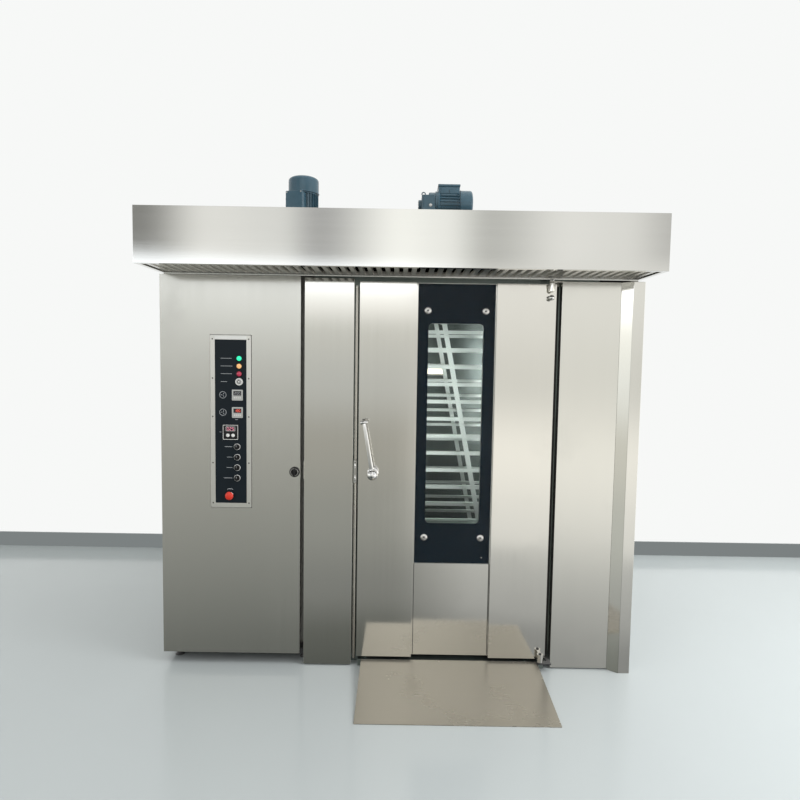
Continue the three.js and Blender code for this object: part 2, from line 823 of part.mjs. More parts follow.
function bottomHingeBracket() {
  const z1 = doorBottom - 3;
  const armZ = [z1 - hingeArm, z1];
  const armX = [hingeX, rightPanelLeft - 4];
  const arm = block(armX, span(hingeY, 2 * hingeEyeRadius - 4), armZ);
  const stemX = [doorRight + 4, rightPanelLeft - 4];
  const stem = block(stemX, [hingeY, panelBackY - seam], armZ);
  const eye = rodZ(hingeEyeRadius, [hingeX, hingeY], armZ);
  const pin = rodZ(hingePinRadius, [hingeX, hingeY], [z1 - 1, doorBottom + hingeEyeHeight + 4]);
  const root = block(stemX, [panelBackY - seam - 6, panelBackY - seam], [armZ[0], armZ[1] + 60]);
  return piece('bottom_hinge_bracket', join(arm, stem, eye, pin, root), frameSteel);
}

// ---------------------------------------------------------------- oven door

function doorLeaf() {
  const recessLeft = doorLeft + leftFacetWidth;
  const recessRight = recessLeft + recessWidth;
  const plan = outline([
    [doorLeft, frontY], [recessLeft, frontY], [recessLeft, frontY + recessDepth],
    [recessRight, frontY + recessDepth], [recessRight, frontY], [doorRight, frontY],
    [doorRight, leafBackY], [doorLeft, leafBackY],
  ]);
  const leaf = pullZ(plan, [doorBottom, doorTop]);
  const hole = windowHole([frontY - 1, leafBackY + 1]);
  const lugs = [[doorTop - hingeEyeHeight, doorTop], [doorBottom, doorBottom + hingeEyeHeight]].map((z) => {
    const eye = rodZ(hingeEyeRadius, [hingeX, hingeY], z);
    const web = block(span(hingeX, hingeEyeRadius), [hingeY, frontY + 1], z);
    return join(eye, web);
  });
  const pinHole = rodZ(hingePinRadius + seam, [hingeX, hingeY], [doorBottom - 1, doorTop + 1]);
  return piece('door_leaf', cut(join(leaf, ...lugs), hole, pinHole), polishedSteel);
}

function windowHole(y, margin = 0) {
  const shape = roundedRectangle([windowLeft - margin, windowRight + margin],
    [windowBottom - margin, windowTop + margin], windowRadius);
  return pullY(shape, y, 4);
}

function outerGlass() {
  const recessLeft = doorLeft + leftFacetWidth;
  const x = [recessLeft + glassMargin, recessLeft + recessWidth - 2];
  const back = frontY + recessDepth - seam;
  const pane = block(x, [back - glassThickness, back], [glassBottom, doorTop - 2]);
  const bolts = [];
  for (const boltX of [x[0] + glassBoltInset, x[1] - glassBoltInset]) {
    for (const boltZ of [glassBoltLow, doorTop - glassBoltBelowDoorTop]) {
      const head = [back - glassThickness - glassBoltHead, back - 1];
      bolts.push(rodY(glassBoltRadius, [boltX, boltZ], head, 14));
    }
  }
  return piece('outer_glass', join(pane, ...bolts), blackGlass);
}

function linerEdges() {
  return {
    x: [openingLeft + linerClearance, openingRight - 2 * linerClearance],
    z: [doorBottom, openingTop - linerClearance],
    y: [leafBackY + seam, leafBackY + linerDepth],
  };
}

function doorLiner() {
  const { x, y, z } = linerEdges();
  const bevel = 16;
  const plan = outline([
    [x[0], y[0]], [x[1], y[0]], [x[1], y[1] - bevel], [x[1] - bevel, y[1]], [x[0] + bevel, y[1]],
    [x[0], y[1] - bevel],
  ]);
  const plug = pullZ(plan, z);
  const rebate = windowHole([y[1] - glassThickness, y[1] + 1], innerGlassOverlap);
  return piece('door_liner', cut(plug, windowHole([y[0] - 1, y[1] + 1]), rebate), liningSteel);
}

function innerGlass() {
  const { y } = linerEdges();
  const pane = windowHole([y[1] - glassThickness + seam, y[1]], innerGlassOverlap - seam);
  return piece('inner_glass', pane, clearGlass);
}

function doorGasket() {
  const x = [doorLeft + gasketInset, hingeX - gasketInset];
  const z = [doorBottom, doorTop - gasketInset];
  const y = [leafBackY + seam, leafBackY + seam + gasketThickness];
  const ring = cut(block(x, y, z),
    block([x[0] + gasketWidth, x[1] - gasketWidth], [y[0] - 1, y[1] + 1],
      [z[0] - 1, z[1] - gasketWidth]));
  return piece('door_gasket', ring, seal);
}

function handleRose() {
  const x = doorLeft + handleFromDoorEdge;
  const disc = rodY(roseRadius, [x, handleHeight], [frontY - roseThickness, frontY - seam], 28);
  const collarY = [frontY - 2 * roseThickness, frontY - roseThickness + 1];
  const collar = rodY(roseRadius * 0.6, [x, handleHeight], collarY, 24);
  return piece('handle_rose', join(disc, collar), chrome);
}

// The lever stands on its spindle, leans left and ends in a short cross bar
function doorHandle() {
  const x = doorLeft + handleFromDoorEdge;
  const hubY = frontY - hubProud;
  const hub = new THREE.SphereGeometry(hubRadius, 16, 10).translate(x, hubY, handleHeight);
  const spindle = rodY(spindleRadius, [x, handleHeight], [hubY, frontY - 2 * roseThickness - seam], 16);
  const foot = leverWidth / 2;
  const end = leverWidth / 2.6;
  const side = outline([[-foot, 0], [foot, 0], [end, leverLength], [-end, leverLength]]);
  const bar = pullY(side, [-leverThickness / 2, leverThickness / 2]);
  const tip = rodX(leverTipRadius, [0, leverLength], [-leverTipWidth / 2, leverTipWidth / 2], 16);
  const lever = join(bar, tip).rotateY(-leverLean).translate(x, hubY, handleHeight);
  return piece('door_handle', join(hub, spindle, lever), chrome);
}

// ---------------------------------------------------------------- cabinet door and controls

const plateX = [leftX + panelLeft + panelRim, leftX + panelLeft + panelWidth - panelRim];
const plateZ = [panelBottom + panelRim, panelBottom + panelHeight - panelRim];
const plateFaceY = frontY - panelRimProud + 1;

function cabinetDoor() {
  const z = [cabinetDoorBottom, cabinetDoorTop];
  const y = [frontY, frontY + cabinetDoorDepth];
  const pan = rearPan([leftX, cabinetDoorRight], y, z, panelSheet);
  const margin = 4;
  const window = block([plateX[0] - margin, plateX[1] + margin], [y[0] - 1, y[0] + panelSheet + 1],
    [plateZ[0] - margin, plateZ[1] + margin]);
  const lockHole = rodY(lockRadius / 2.5 + 0.5, [cabinetDoorRight - lockFromEdge, lockHeight],
    [y[0] - 1, y[1]], 14);
  const knuckles = barrelHeights.map((height) => {
    const barrel = rodZ(barrelRadius, [barrelX, barrelY], span(height, barrelLength), 8);
    const tab = block([leftX + 0.4, leftX + panelSheet], [y[1] - 4, barrelY],
      span(height, barrelLength - 2));
    return join(barrel, tab);
  });
  return piece('cabinet_door', join(cut(pan, window, lockHole), ...knuckles), brushedSteel);
}

function panelFrame() {
  const x = [leftX + panelLeft, leftX + panelLeft + panelWidth];
  const z = [panelBottom, panelBottom + panelHeight];
  const y = [frontY - panelRimProud, frontY - seam];
  const ring = cut(pullY(roundedRectangle(x, z, 5), y, 3),
    block([x[0] + panelRim, x[1] - panelRim], [y[0] - 1, y[1] + 1],
      [z[0] + panelRim, z[1] - panelRim]));
  return piece('panel_frame', ring, aluminium);
}

// The black plate with the lamp lenses, the buzzer cap and the switch rings standing on it
function panelPlate() {
  const y = [plateFaceY, plateFaceY + plateThickness];
  const left = leftX + panelLeft;
  const sheet = block([plateX[0] + seam, plateX[1] - seam], y, [plateZ[0] + seam, plateZ[1] - seam]);
  const lensProud = 9;
  const lenses = lampHeights.map((height) => {
    const lens = turned([
      [0, 0], [lampRadius, 0], [lampRadius, lensProud * 0.6], [lampRadius * 0.7, lensProud], [0, lensProud],
    ], 12);
    return lens.rotateX(Math.PI / 2).translate(left + lampFromPanel, y[0] + 1, height);
  });
  const buzzer = rodY(buzzerRadius, [left + lampFromPanel, buzzerHeight], [y[0] - lensProud, y[0] + 1], 24);
  const ringProud = 6;
  const rings = selectorHeights.map((height) => rodY(selectorRing, [left + selectorFromPanel, height],
    [y[0] - ringProud, y[0] + 1], 14));
  const stopRing = rodY(selectorRing, [left + stopFromPanel, stopHeight], [y[0] - ringProud, y[0] + 1], 14);
  const holes = selectorHeights.map((height) => rodY(selectorRadius + 0.5, [left + selectorFromPanel, height],
    [y[0] - 2 * ringProud, y[1] + 1], 14));
  const stopHole = rodY(selectorRadius + 0.5, [left + stopFromPanel, stopHeight],
    [y[0] - 2 * ringProud, y[1] + 1], 14);
  const through = [y[0] - 1, y[1] + 1];
  const cutOuts = displayHeights.map((height) => deviceCan(left + displayFromPanel, height,
    displaySize, displaySize, through, 0.5));
  const timerHole = deviceCan(left + timerFromPanel, timerHeight, timerWidth, timerTall, through, 0.5);
  const dressed = join(sheet, ...lenses, buzzer, ...rings, stopRing);
  return piece('panel_plate', cut(dressed, ...holes, stopHole, ...cutOuts, timerHole), blackPlate);
}

// The rear body of an instrument, which fits a square hole in the plate
function deviceCan(x, z, width, tall, y, play = 0) {
  const inset = 4;
  return block(span(x, width - 2 * inset + 2 * play), y, span(z, tall - 2 * inset + 2 * play));
}

function display(name, height) {
  const x = leftX + panelLeft + displayFromPanel;
  const bezel = [plateFaceY - 6, plateFaceY - seam];
  const face = block(span(x, displaySize), bezel, span(height, displaySize));
  const screen = block(span(x, displaySize * 0.72), [bezel[0] - 1, bezel[0] + 1.5],
    span(height + displaySize * 0.1, displaySize * 0.5));
  const can = deviceCan(x, height, displaySize, displaySize, [bezel[0] + 2, plateFaceY + displayCanDepth]);
  return piece(name, join(cut(face, screen), can), greyPlastic);
}

function timer() {
  const x = leftX + panelLeft + timerFromPanel;
  const bezel = [plateFaceY - 8, plateFaceY - seam];
  const face = block(span(x, timerWidth), bezel, span(timerHeight, timerTall));
  const pocketWidth = timerWidth - 12;
  const pocket = block(span(x, pocketWidth), [bezel[0] - 1, bezel[0] + 2], span(timerHeight, timerTall - 12));
  const can = deviceCan(x, timerHeight, timerWidth, timerTall, [bezel[0] + 3, plateFaceY + timerCanDepth]);
  const dialZ = timerHeight - timerTall / 5;
  const dials = [-1, 1].map((side) => rodY(timerWidth / 9, [x + side * (timerWidth / 6), dialZ],
    [bezel[0] - 3, bezel[0] + 3], 16));
  return piece('timer', join(cut(face, pocket), can, ...dials), greyPlastic);
}

function selector(index) {
  const x = leftX + panelLeft + selectorFromPanel;
  const z = selectorHeights[index];
  const stem = rodY(selectorRadius, [x, z], [plateFaceY - 9, plateFaceY + 24], 14);
  const grip = block(span(x, 7), [plateFaceY - 18, plateFaceY - 8], span(z, 1.7 * selectorRadius));
  const head = turned([[0, 0], [selectorRadius + 2, 0], [selectorRadius, 3.5], [0, 3.5]], 14)
    .rotateX(Math.PI / 2).translate(x, plateFaceY - 6 - seam, z);
  return piece(`selector_${index + 1}`, join(stem, grip, head), blackPlastic);
}

function emergencyStop() {
  const x = leftX + panelLeft + stopFromPanel;
  const under = plateFaceY - 6 - seam - stopTravel;
  const headDepth = 13;
  const head = turned([
    [0, 0], [stopRadius * 0.8, 0], [stopRadius, headDepth * 0.45], [stopRadius * 0.92, headDepth * 0.8],
    [stopRadius * 0.6, headDepth], [0, headDepth],
  ], 20).rotateX(Math.PI / 2).translate(x, under, stopHeight);
  const stem = rodY(selectorRadius, [x, stopHeight], [under - 1, plateFaceY + 20], 14);
  return piece('emergency_stop', join(head, stem), redPlastic);
}

function lockKnob() {
  const x = cabinetDoorRight - lockFromEdge;
  const knobDepth = 16;
  const knob = turned([[0, 0], [lockRadius, 0], [lockRadius, knobDepth * 0.5], [lockRadius * 0.8, knobDepth],
    [0, knobDepth]], 20).rotateX(Math.PI / 2).translate(x, frontY - seam, lockHeight);
  const camY = [strikeBackY + camClearance, strikeBackY + camClearance + camThickness];
  const stem = rodY(lockRadius / 2.5, [x, lockHeight], [frontY - 1, camY[1]], 14);
  const cam = block(span(x, camWidth), camY, [lockHeight - camReach, lockHeight]);
  return piece('lock_knob', join(knob, stem, cam), blackPlastic);
}

// The mounting plate in the cabinet's side bay with its rows of switchgear
function electricalPlate() {
  const x = [leftX + casingSheet + seam, housingLeft - seam];
  const face = chamberFrontY + bayPlateFromChamberFront;
  const z = [bayPlateBottom, wallTop - bayPlateBelowWallTop];
  const sheet = block(x, [face, face + bayPlateSheet], z);
  const centreX = (x[0] + x[1]) / 2;
  const railFace = face - bayRailDepth;
  const gear = [];
  for (const height of countDown((z[0] + z[1]) / 2 + bayRowPitch, bayRowPitch, bayRowCount)) {
    gear.push(block([x[0] + bayRailHeight / 2, x[1] - bayRailHeight / 2], [railFace, face + 1],
      span(height, bayRailHeight)));
    for (let unit = 0; unit < switchUnitsPerRow; unit += 1) {
      const offset = (unit - (switchUnitsPerRow - 1) / 2) * (switchUnitWidth + switchUnitGap);
      gear.push(switchUnit(span(centreX + offset, switchUnitWidth), railFace + 1, height));
    }
  }
  return piece('electrical_plate', join(sheet, ...gear), greyPlastic);
}

// A contactor: a block with a stepped nose
function switchUnit(x, back, height) {
  const body = back - switchBodyDepth;
  const nose = body - switchNoseDepth;
  const [low, high] = span(height, switchBodyHeight);
  const [noseLow, noseHigh] = span(height, switchNoseHeight);
  const side = outline([
    [back, low], [back, high], [body, high], [body, noseHigh], [nose, noseHigh], [nose, noseLow],
    [body, noseLow], [body, low],
  ]);
  return pullX(side, x);
}

// ---------------------------------------------------------------- tray rack (about its own axis)

function rackSideFrame(name, side) {
  const inner = side * (rackDepth / 2 - rackTube);
  const outer = side * (rackDepth / 2);
  const y = ordered(inner, outer);
  const half = rackWidth / 2;
  const members = [];
  for (const end of [-1, 1]) {
    members.push(block(span(end * (half - rackTube / 2), rackTube), y, [rackBottom, rackTop]));
  }
  for (const z of [rackBottom, rackTop - rackTube]) {
    members.push(block([-half + 1, half - 1], y, [z, z + rackTube]));
  }
  for (let level = 0; level < levelCount; level += 1) {
    members.push(runner(side, inner, firstLevel + level * levelPitch));
  }
  members.push(brace(side, outer));
  return piece(name, join(...members), brushedSteel);
}

// An angle whose ledge reaches inwards and whose web hangs down in line with the posts
function runner(side, inner, height) {
  const web = inner + side * runnerSheet;
  const ledge = inner - side * (runnerLedge - runnerSheet);
  const corners = [
    [web, height], [ledge, height], [ledge, height - runnerSheet], [inner, height - runnerSheet],
    [inner, height - runnerWeb], [web, height - runnerWeb],
  ];
  const half = rackWidth / 2 - rackTube / 2;
  return pullX(outline(side < 0 ? corners.reverse() : corners), [-half, half]);
}

function brace(side, outer) {
  const y = ordered(outer - side, outer + side * braceThickness);
  const low = rackBottom + rackTube / 2;
  const high = rackTop - rackTube / 2;
  const half = braceWidth / 2;
  const strip = outline([
    [braceBottomX - half, low], [braceBottomX + half, low], [braceTopX + half, high],
    [braceTopX - half, high],
  ]);
  return pullY(strip, y);
}

const rackInnerDepth = rackDepth - 2 * rackTube;

function rackTopFrame() {
  const z = [rackTop - rackTube, rackTop];
  const y = span(0, rackInnerDepth - 2 * seam);
  const half = rackWidth / 2;
  const cross = [-half + rackTube / 2, half - rackTube / 2].map((x) => block(span(x, rackTube), y, z));
  const rails = [-1, 1].map((side) => block([-half + 1, half - 1],
    span(side * (hookSpacing / 2), rackTube), z));
  return piece('rack_top', join(...cross, ...rails), brushedSteel);
}

function rackBase() {
  const z = [rackBottom, rackBottom + rackTube];
  const y = span(0, rackInnerDepth - 2 * seam);
  const beamWidth = 110;
  const spine = block([-rackWidth / 2 + 5, rackWidth / 2 - 5], span(0, rackTube * 1.5), z);
  const beamX = rackWidth / 2 - beamWidth / 2;
  const beams = [-1, 1].map((side) => block(span(side * beamX, beamWidth), y, z));
  const fixed = [-1, 1].map((side) => fork([casterX, side * casterY], 0));
  const seats = [-1, 1].map((side) => rodZ(kingPinRadius + seam, [-casterX, side * casterY],
    [z[0] - 1, z[1] + 1], 12));
  return piece('rack_base', join(cut(join(spine, ...beams), ...seats), ...fixed), brushedSteel);
}

const wheelAxisZ = floorThickness + wheelClearance + wheelRadius;

// Two cheeks and a crown round a wheel whose axle lies trail behind the pivot
function fork([x, y], trail) {
  const cheekGap = wheelWidth / 2 + 3;
  const crown = block(span(x, 64), span(y, 2 * cheekGap + 2 * forkSheet), [rackBottom - 8, rackBottom + 1]);
  const cheeks = [-1, 1].map((side) => {
    const edge = outline([
      [x - 26, rackBottom - 1], [x - trail - 14, wheelAxisZ - 12], [x - trail + 14, wheelAxisZ - 12],
      [x + 26, rackBottom - 1],
    ]);
    const near = y + side * cheekGap;
    const far = near + side * forkSheet;
    return pullY(edge, ordered(near, far));
  });
  const axle = rodY(axleRadius, [x - trail, wheelAxisZ], span(y, 2 * cheekGap + 2 * forkSheet + 8), 10);
  return join(crown, ...cheeks, axle);
}

function swivelFork(name, side) {
  const top = rackBottom - seam;
  const reach = casterTrail + wheelRadius;
  const whole = fork([-casterX, side * casterY], casterTrail);
  const above = block(span(-casterX, 2 * reach), span(side * casterY, 2 * reach), [top, top + rackTube]);
  const trimmed = cut(whole, above);
  const kingPin = rodZ(kingPinRadius, [-casterX, side * casterY], [top - 4, rackBottom + rackTube], 12);
  return piece(name, join(trimmed, kingPin), brushedSteel);
}

function casterWheel(name, [x, y]) {
  const half = wheelWidth / 2;
  const tread = 3;
  const bore = axleRadius + seam;
  const profile = [
    [bore, -half], [wheelRadius * 0.4, -half], [wheelRadius * 0.6, 4 - half], [wheelRadius - tread, 1 - half],
    [wheelRadius, 5 - half], [wheelRadius, half - 5], [wheelRadius - tread, half - 1],
    [wheelRadius * 0.6, half - 4], [wheelRadius * 0.4, half], [bore, half], [bore, -half],
  ];
  const wheel = turned(profile, 14).rotateX(Math.PI / 2).translate(x, y, wheelAxisZ);
  return piece(name, wheel, tyre);
}

// The shaft from the roof, a yoke across it and two hooks under the rack's top rails
function rackHanger() {
  const yokeBottom = rackTop + yokeGap;
  const shaft = rodZ(hangerShaftRadius, [0, 0], [yokeBottom + 1, hangerShaftTop], 28);
  const reach = hookSpacing / 2 + rackTube / 2 + hookThickness + 2;
  const yoke = block(span(0, yokeWidth), [-reach, reach], [yokeBottom, yokeBottom + yokeHeight]);
  const railBottom = rackTop - rackTube;
  const hooks = [-1, 1].map((side) => {
    const railOuter = side * (hookSpacing / 2 + rackTube / 2);
    const legInner = railOuter + side * 2;
    const legOuter = side * reach;
    const lipEnd = side * (hookSpacing / 2 - rackTube / 2);
    const lipTop = railBottom - seam;
    const corners = [
      [lipEnd, lipTop], [legInner, lipTop], [legInner, yokeBottom + 1], [legOuter, yokeBottom + 1],
      [legOuter, lipTop - hookThickness], [lipEnd, lipTop - hookThickness],
    ];
    return pullX(outline(side > 0 ? corners.reverse() : corners), span(0, yokeWidth - 10));
  });
  return piece('rack_hanger', join(shaft, yoke, ...hooks), brushedSteel);
}

// ---------------------------------------------------------------- circulation fan (about its own axis)

function impeller() {
  const top = impellerTop;
  const low = impellerTop - impellerHeight;
  const shaftTop = fanMotorFoot + motorSocket - seam;
  const shaft = rodZ(fanShaftRadius, [0, 0], [top - 1, shaftTop], 20);
  const hub = turned([[0, top - 60], [fanHubRadius * 0.6, top - 60], [fanHubRadius, top - 20],
    [fanHubRadius, top + 18], [fanHubRadius * 0.7, top + 24], [0, top + 24]], 20);
  const backDisc = rodZ(impellerRadius, [0, 0], [top - impellerSheet, top], 30);
  const inletRing = turned([
    [impellerInlet, low], [impellerRadius, low], [impellerRadius, low + impellerSheet],
    [impellerInlet, low + impellerSheet], [impellerInlet, low],
  ], 30);
  const blades = [];
  for (let index = 0; index < bladeCount; index += 1) {
    blades.push(blade([low + 1, top - 1]).rotateZ((index * 2 * Math.PI) / bladeCount));
  }
  return piece('impeller', join(shaft, hub, backDisc, inletRing, ...blades), brushedSteel);
}

// A backward curved blade from the inlet to the rim
function blade(z) {
  const inner = impellerInlet + 1;
  const outer = impellerRadius - 2;
  const along = [0, 1, 2, 3];
  const edge = (offset) => along.map((step) => {
    const part = step / (along.length - 1);
    const radius = inner + (outer - inner) * part;
    const angle = -bladeSweep * part * part + offset / radius;
    return [radius * Math.cos(angle), radius * Math.sin(angle)];
  });
  const half = impellerSheet / 2;
  return pullZ(outline([...edge(-half), ...edge(half).reverse()]), z);
}

// ---------------------------------------------------------------- drives on the roof

// A table of four angle legs, in a frame whose origin is its own centre
function stand(width, depth, height, foot) {
  const half = [width / 2, depth / 2];
  const plate = block(span(0, width), span(0, depth), [foot + height, foot + height + standPlate]);
  const legs = [];
  for (const sideX of [-1, 1]) {
    for (const sideY of [-1, 1]) {
      const x = sideX * half[0];
      const y = sideY * half[1];
      const alongX = ordered(x, x - sideX * standLeg);
      const alongY = ordered(y, y - sideY * standLeg);
      const z = [foot, foot + height + 1];
      const frontFlange = block(alongX, ordered(y, y - sideY * standLegSheet), z);
      const sideFlange = block(ordered(x, x - sideX * standLegSheet), alongY, z);
      const pad = block(alongX, alongY, [foot, foot + standLegSheet]);
      legs.push(join(frontFlange, sideFlange, pad));
    }
  }
  return join(plate, ...legs);
}

function driveStand() {
  const table = stand(2 * gearboxFromRack + driveStandMargin, driveStandDepth, driveStandHeight, standFoot);
  const caseZ = [driveTableTop - 1, driveTableTop + chainCaseHeight];
  const shape = new THREE.Shape();
  shape.absarc(-gearboxFromRack, 0, chainCaseRadius, Math.PI / 2, 1.5 * Math.PI);
  shape.absarc(0, 0, chainCaseRadius, -Math.PI / 2, Math.PI / 2);
  const chainCase = pullZ(shape, caseZ, 10);
  const shaftHole = rodZ(hangerShaftRadius + seam, [0, 0], [standFoot - 1, hangerShaftTop + 2], 28);
  return piece('drive_stand', cut(join(table, chainCase), shaftHole), frameSteel);
}

function gearbox() {
  const x = -gearboxFromRack;
  const depth = span(0, gearboxDepth);
  const caseTop = motorAxisHeight + gearboxOverAxis;
  const caseEdge = roundedRectangle(span(x + 6, gearboxWidth), depth, 16);
  const body = pullZ(caseEdge, [gearboxFoot, caseTop], 3);
  const footEdge = roundedRectangle(span(x, gearboxFootWidth), depth, 12);
  const basePlate = pullZ(footEdge, [gearboxFoot, gearboxFoot + gearboxFootThickness], 3);
  const coverAxis = [0, motorAxisHeight - gearboxCoverDrop];
  const cover = rodX(gearboxCoverRadius, coverAxis, span(x - gearboxWidth / 2, 24), 16);
  const axis = [0, motorAxisHeight];
  const flangeEnd = x + gearboxFlangeEnd;
  const neck = rodX(gearboxNeckRadius, axis, [x + 10, flangeEnd], 24);
  const ring = rodX(gearboxFlangeRadius, axis, [flangeEnd - gearboxFlangeRing, flangeEnd], 24);
  return piece('gearbox', join(body, basePlate, cover, neck, ring), castPaint);
}

// Cooling fins standing off a motor frame that lies along its own Z axis
function finnedBarrel(radius, length) {
  const core = rodZ(radius, [0, 0], [0, length], 28);
  const fins = [];
  for (let index = 0; index < motorFinCount; index += 1) {
    const fin = block([radius - 2, radius + motorFinHeight], span(0, motorFinThickness), [6, length - 6]);
    fins.push(fin.rotateZ(((index + 0.5) * 2 * Math.PI) / motorFinCount));
  }
  return join(core, ...fins);
}

function fanCowl(radius, height, domeRise) {
  const shoulder = height - domeRise;
  return turned([[0, 0], [radius, 0], [radius, shoulder], [radius * 0.94, shoulder + domeRise * 0.55],
    [radius * 0.75, shoulder + domeRise * 0.85], [radius * 0.4, height], [0, height]], 24);
}

function gearmotor() {
  const start = -gearboxFromRack + gearboxFlangeEnd + seam;
  const barrel = finnedBarrel(gearmotorRadius, gearmotorLength).rotateY(Math.PI / 2);
  const cowl = fanCowl(gearmotorCowlRadius, gearmotorCowlLength, 20).rotateY(Math.PI / 2)
    .translate(gearmotorLength - 1, 0, 0);
  const frame = join(barrel, cowl).translate(start, 0, motorAxisHeight);
  const boxX = [start + terminalLidRim, start + terminalLidRim + terminalBoxWidth];
  const boxTop = terminalBoxTop - terminalLid;
  const terminalBox = block(boxX, span(0, terminalBoxDepth), [motorAxisHeight, boxTop + 1]);
  const lidEdge = roundedRectangle([boxX[0] - terminalLidRim + 1, boxX[1] + terminalLidRim - 1],
    span(0, terminalBoxDepth + 2 * terminalLidRim), 8);
  const lid = pullZ(lidEdge, [boxTop, terminalBoxTop], 3);
  return piece('gearmotor', join(frame, terminalBox, lid), motorPaint);
}

function fanStand() {
  const table = stand(fanStandWidth, fanStandWidth, fanStandHeight, standFoot);
  const hole = rodZ(fanShaftRadius + shaftPlay, [0, 0], [standFoot, fanMotorFoot + 1], 24);
  return piece('fan_stand', cut(table, hole), frameSteel);
}

// The motor stands upright on its flange; the terminal box faces the front left
function fanMotor() {
  const flange = rodZ(fanMotorFlangeRadius, [0, 0], [fanMotorFoot, fanMotorFoot + fanMotorFlange], 24);
  const bodyFoot = fanMotorFoot + fanMotorFlange - 1;
  const barrel = finnedBarrel(fanMotorRadius, fanMotorBodyTop - bodyFoot + 1).translate(0, 0, bodyFoot);
  const cowl = fanCowl(fanCowlRadius, fanMotorCowlHeight, 24).translate(0, 0, fanMotorBodyTop);
  const boxZ = [fanMotorFoot + fanTerminalBoxOverFoot, fanMotorBodyTop - 12];
  const boxReach = fanMotorRadius + fanTerminalBoxReach;
  const terminalBox = block([fanMotorRadius - 14, boxReach], span(0, fanTerminalBoxWidth), boxZ);
  const lid = block([boxReach - 1, boxReach + 8], span(0, fanTerminalBoxWidth + 2 * terminalLidRim),
    [boxZ[0] - terminalLidRim, boxZ[1] + terminalLidRim]);
  const box = join(terminalBox, lid).rotateZ(fanTerminalBoxTurn);
  const socket = rodZ(fanShaftRadius + seam, [0, 0], [fanMotorFoot - 1, fanMotorFoot + motorSocket], 20);
  return piece('fan_motor', cut(join(flange, barrel, cowl, box), socket), motorPaint);
}

// ---------------------------------------------------------------- the whole oven

const casing = assembly([0, 0, 0],
  baseFrame(), leftSidePanel(), rightSidePanel(), rearPanel(), roofPanel(), ductFrontPanel(),
  rightFrontPanel(), cornerWing(), latchPost(), electricalPlate());

const chamber = assembly([0, 0, 0],
  chamberFloor(), ductWall(), chamberRightWall(), chamberRearWall(), chamberRoof(), doorFrame(),
  ductHousing());

const hood = assembly([0, 0, 0], hoodShell(), ...baffles());

const frontFittings = assembly([0, 0, 0], ramp(), topHingeBracket(), bottomHingeBracket());

const ovenDoor = assembly([0, 0, 0],
  doorLeaf(), outerGlass(), innerGlass(), doorLiner(), doorGasket(), handleRose(), doorHandle());

const controlCabinet = assembly([0, 0, 0],
  cabinetDoor(), panelFrame(), panelPlate(), display('display_upper', displayHeights[0]),
  display('display_lower', displayHeights[1]), timer(), emergencyStop(), lockKnob(),
  ...selectorHeights.map((height, index) => selector(index)));

const rack = assembly([rackX, rackY, 0],
  rackHanger(), rackSideFrame('rack_front_side', -1), rackSideFrame('rack_rear_side', 1), rackTopFrame(),
  rackBase(), swivelFork('caster_fork_front', -1), swivelFork('caster_fork_rear', 1),
  casterWheel('wheel_swivel_front', [-casterX - casterTrail, -casterY]),
  casterWheel('wheel_swivel_rear', [-casterX - casterTrail, casterY]),
  casterWheel('wheel_fixed_front', [casterX, -casterY]),
  casterWheel('wheel_fixed_rear', [casterX, casterY]));

const rackDrive = assembly([rackX, rackY, 0], driveStand(), gearbox(), gearmotor());

const fan = assembly([fanX, fanY, 0], impeller(), fanStand(), fanMotor());

const oven = new THREE.Group();
oven.add(casing, chamber, hood, frontFittings, ovenDoor, controlCabinet, rack, rackDrive, fan);

export default oven;
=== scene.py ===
# Rotating rack oven: steel panels, windowed door, control cabinet, hood, tray rack and roof drives
import json
import math

import bmesh
import bpy
from mathutils import Matrix, Vector

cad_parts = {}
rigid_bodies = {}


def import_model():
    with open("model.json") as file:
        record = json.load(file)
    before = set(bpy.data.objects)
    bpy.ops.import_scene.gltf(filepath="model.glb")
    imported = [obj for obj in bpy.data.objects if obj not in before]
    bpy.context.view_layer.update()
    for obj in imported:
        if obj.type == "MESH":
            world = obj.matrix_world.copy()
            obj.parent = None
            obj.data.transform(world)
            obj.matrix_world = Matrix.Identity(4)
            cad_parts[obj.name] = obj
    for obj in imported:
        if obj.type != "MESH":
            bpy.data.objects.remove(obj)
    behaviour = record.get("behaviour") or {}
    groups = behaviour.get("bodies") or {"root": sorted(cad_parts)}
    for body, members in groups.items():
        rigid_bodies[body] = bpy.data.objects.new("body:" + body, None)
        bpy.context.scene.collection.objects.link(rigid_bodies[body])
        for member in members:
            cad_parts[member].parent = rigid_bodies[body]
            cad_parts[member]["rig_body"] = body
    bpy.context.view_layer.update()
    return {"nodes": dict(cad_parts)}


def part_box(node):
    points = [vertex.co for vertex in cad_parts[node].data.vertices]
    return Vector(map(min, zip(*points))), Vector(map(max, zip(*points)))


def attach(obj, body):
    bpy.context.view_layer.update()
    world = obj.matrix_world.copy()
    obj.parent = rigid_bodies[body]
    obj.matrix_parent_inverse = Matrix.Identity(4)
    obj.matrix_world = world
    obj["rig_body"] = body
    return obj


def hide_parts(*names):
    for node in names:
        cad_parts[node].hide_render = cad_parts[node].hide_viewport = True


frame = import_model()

nodes = frame["nodes"]
mm = 0.001
print("frame loaded:", len(nodes), "nodes")

# camera and light

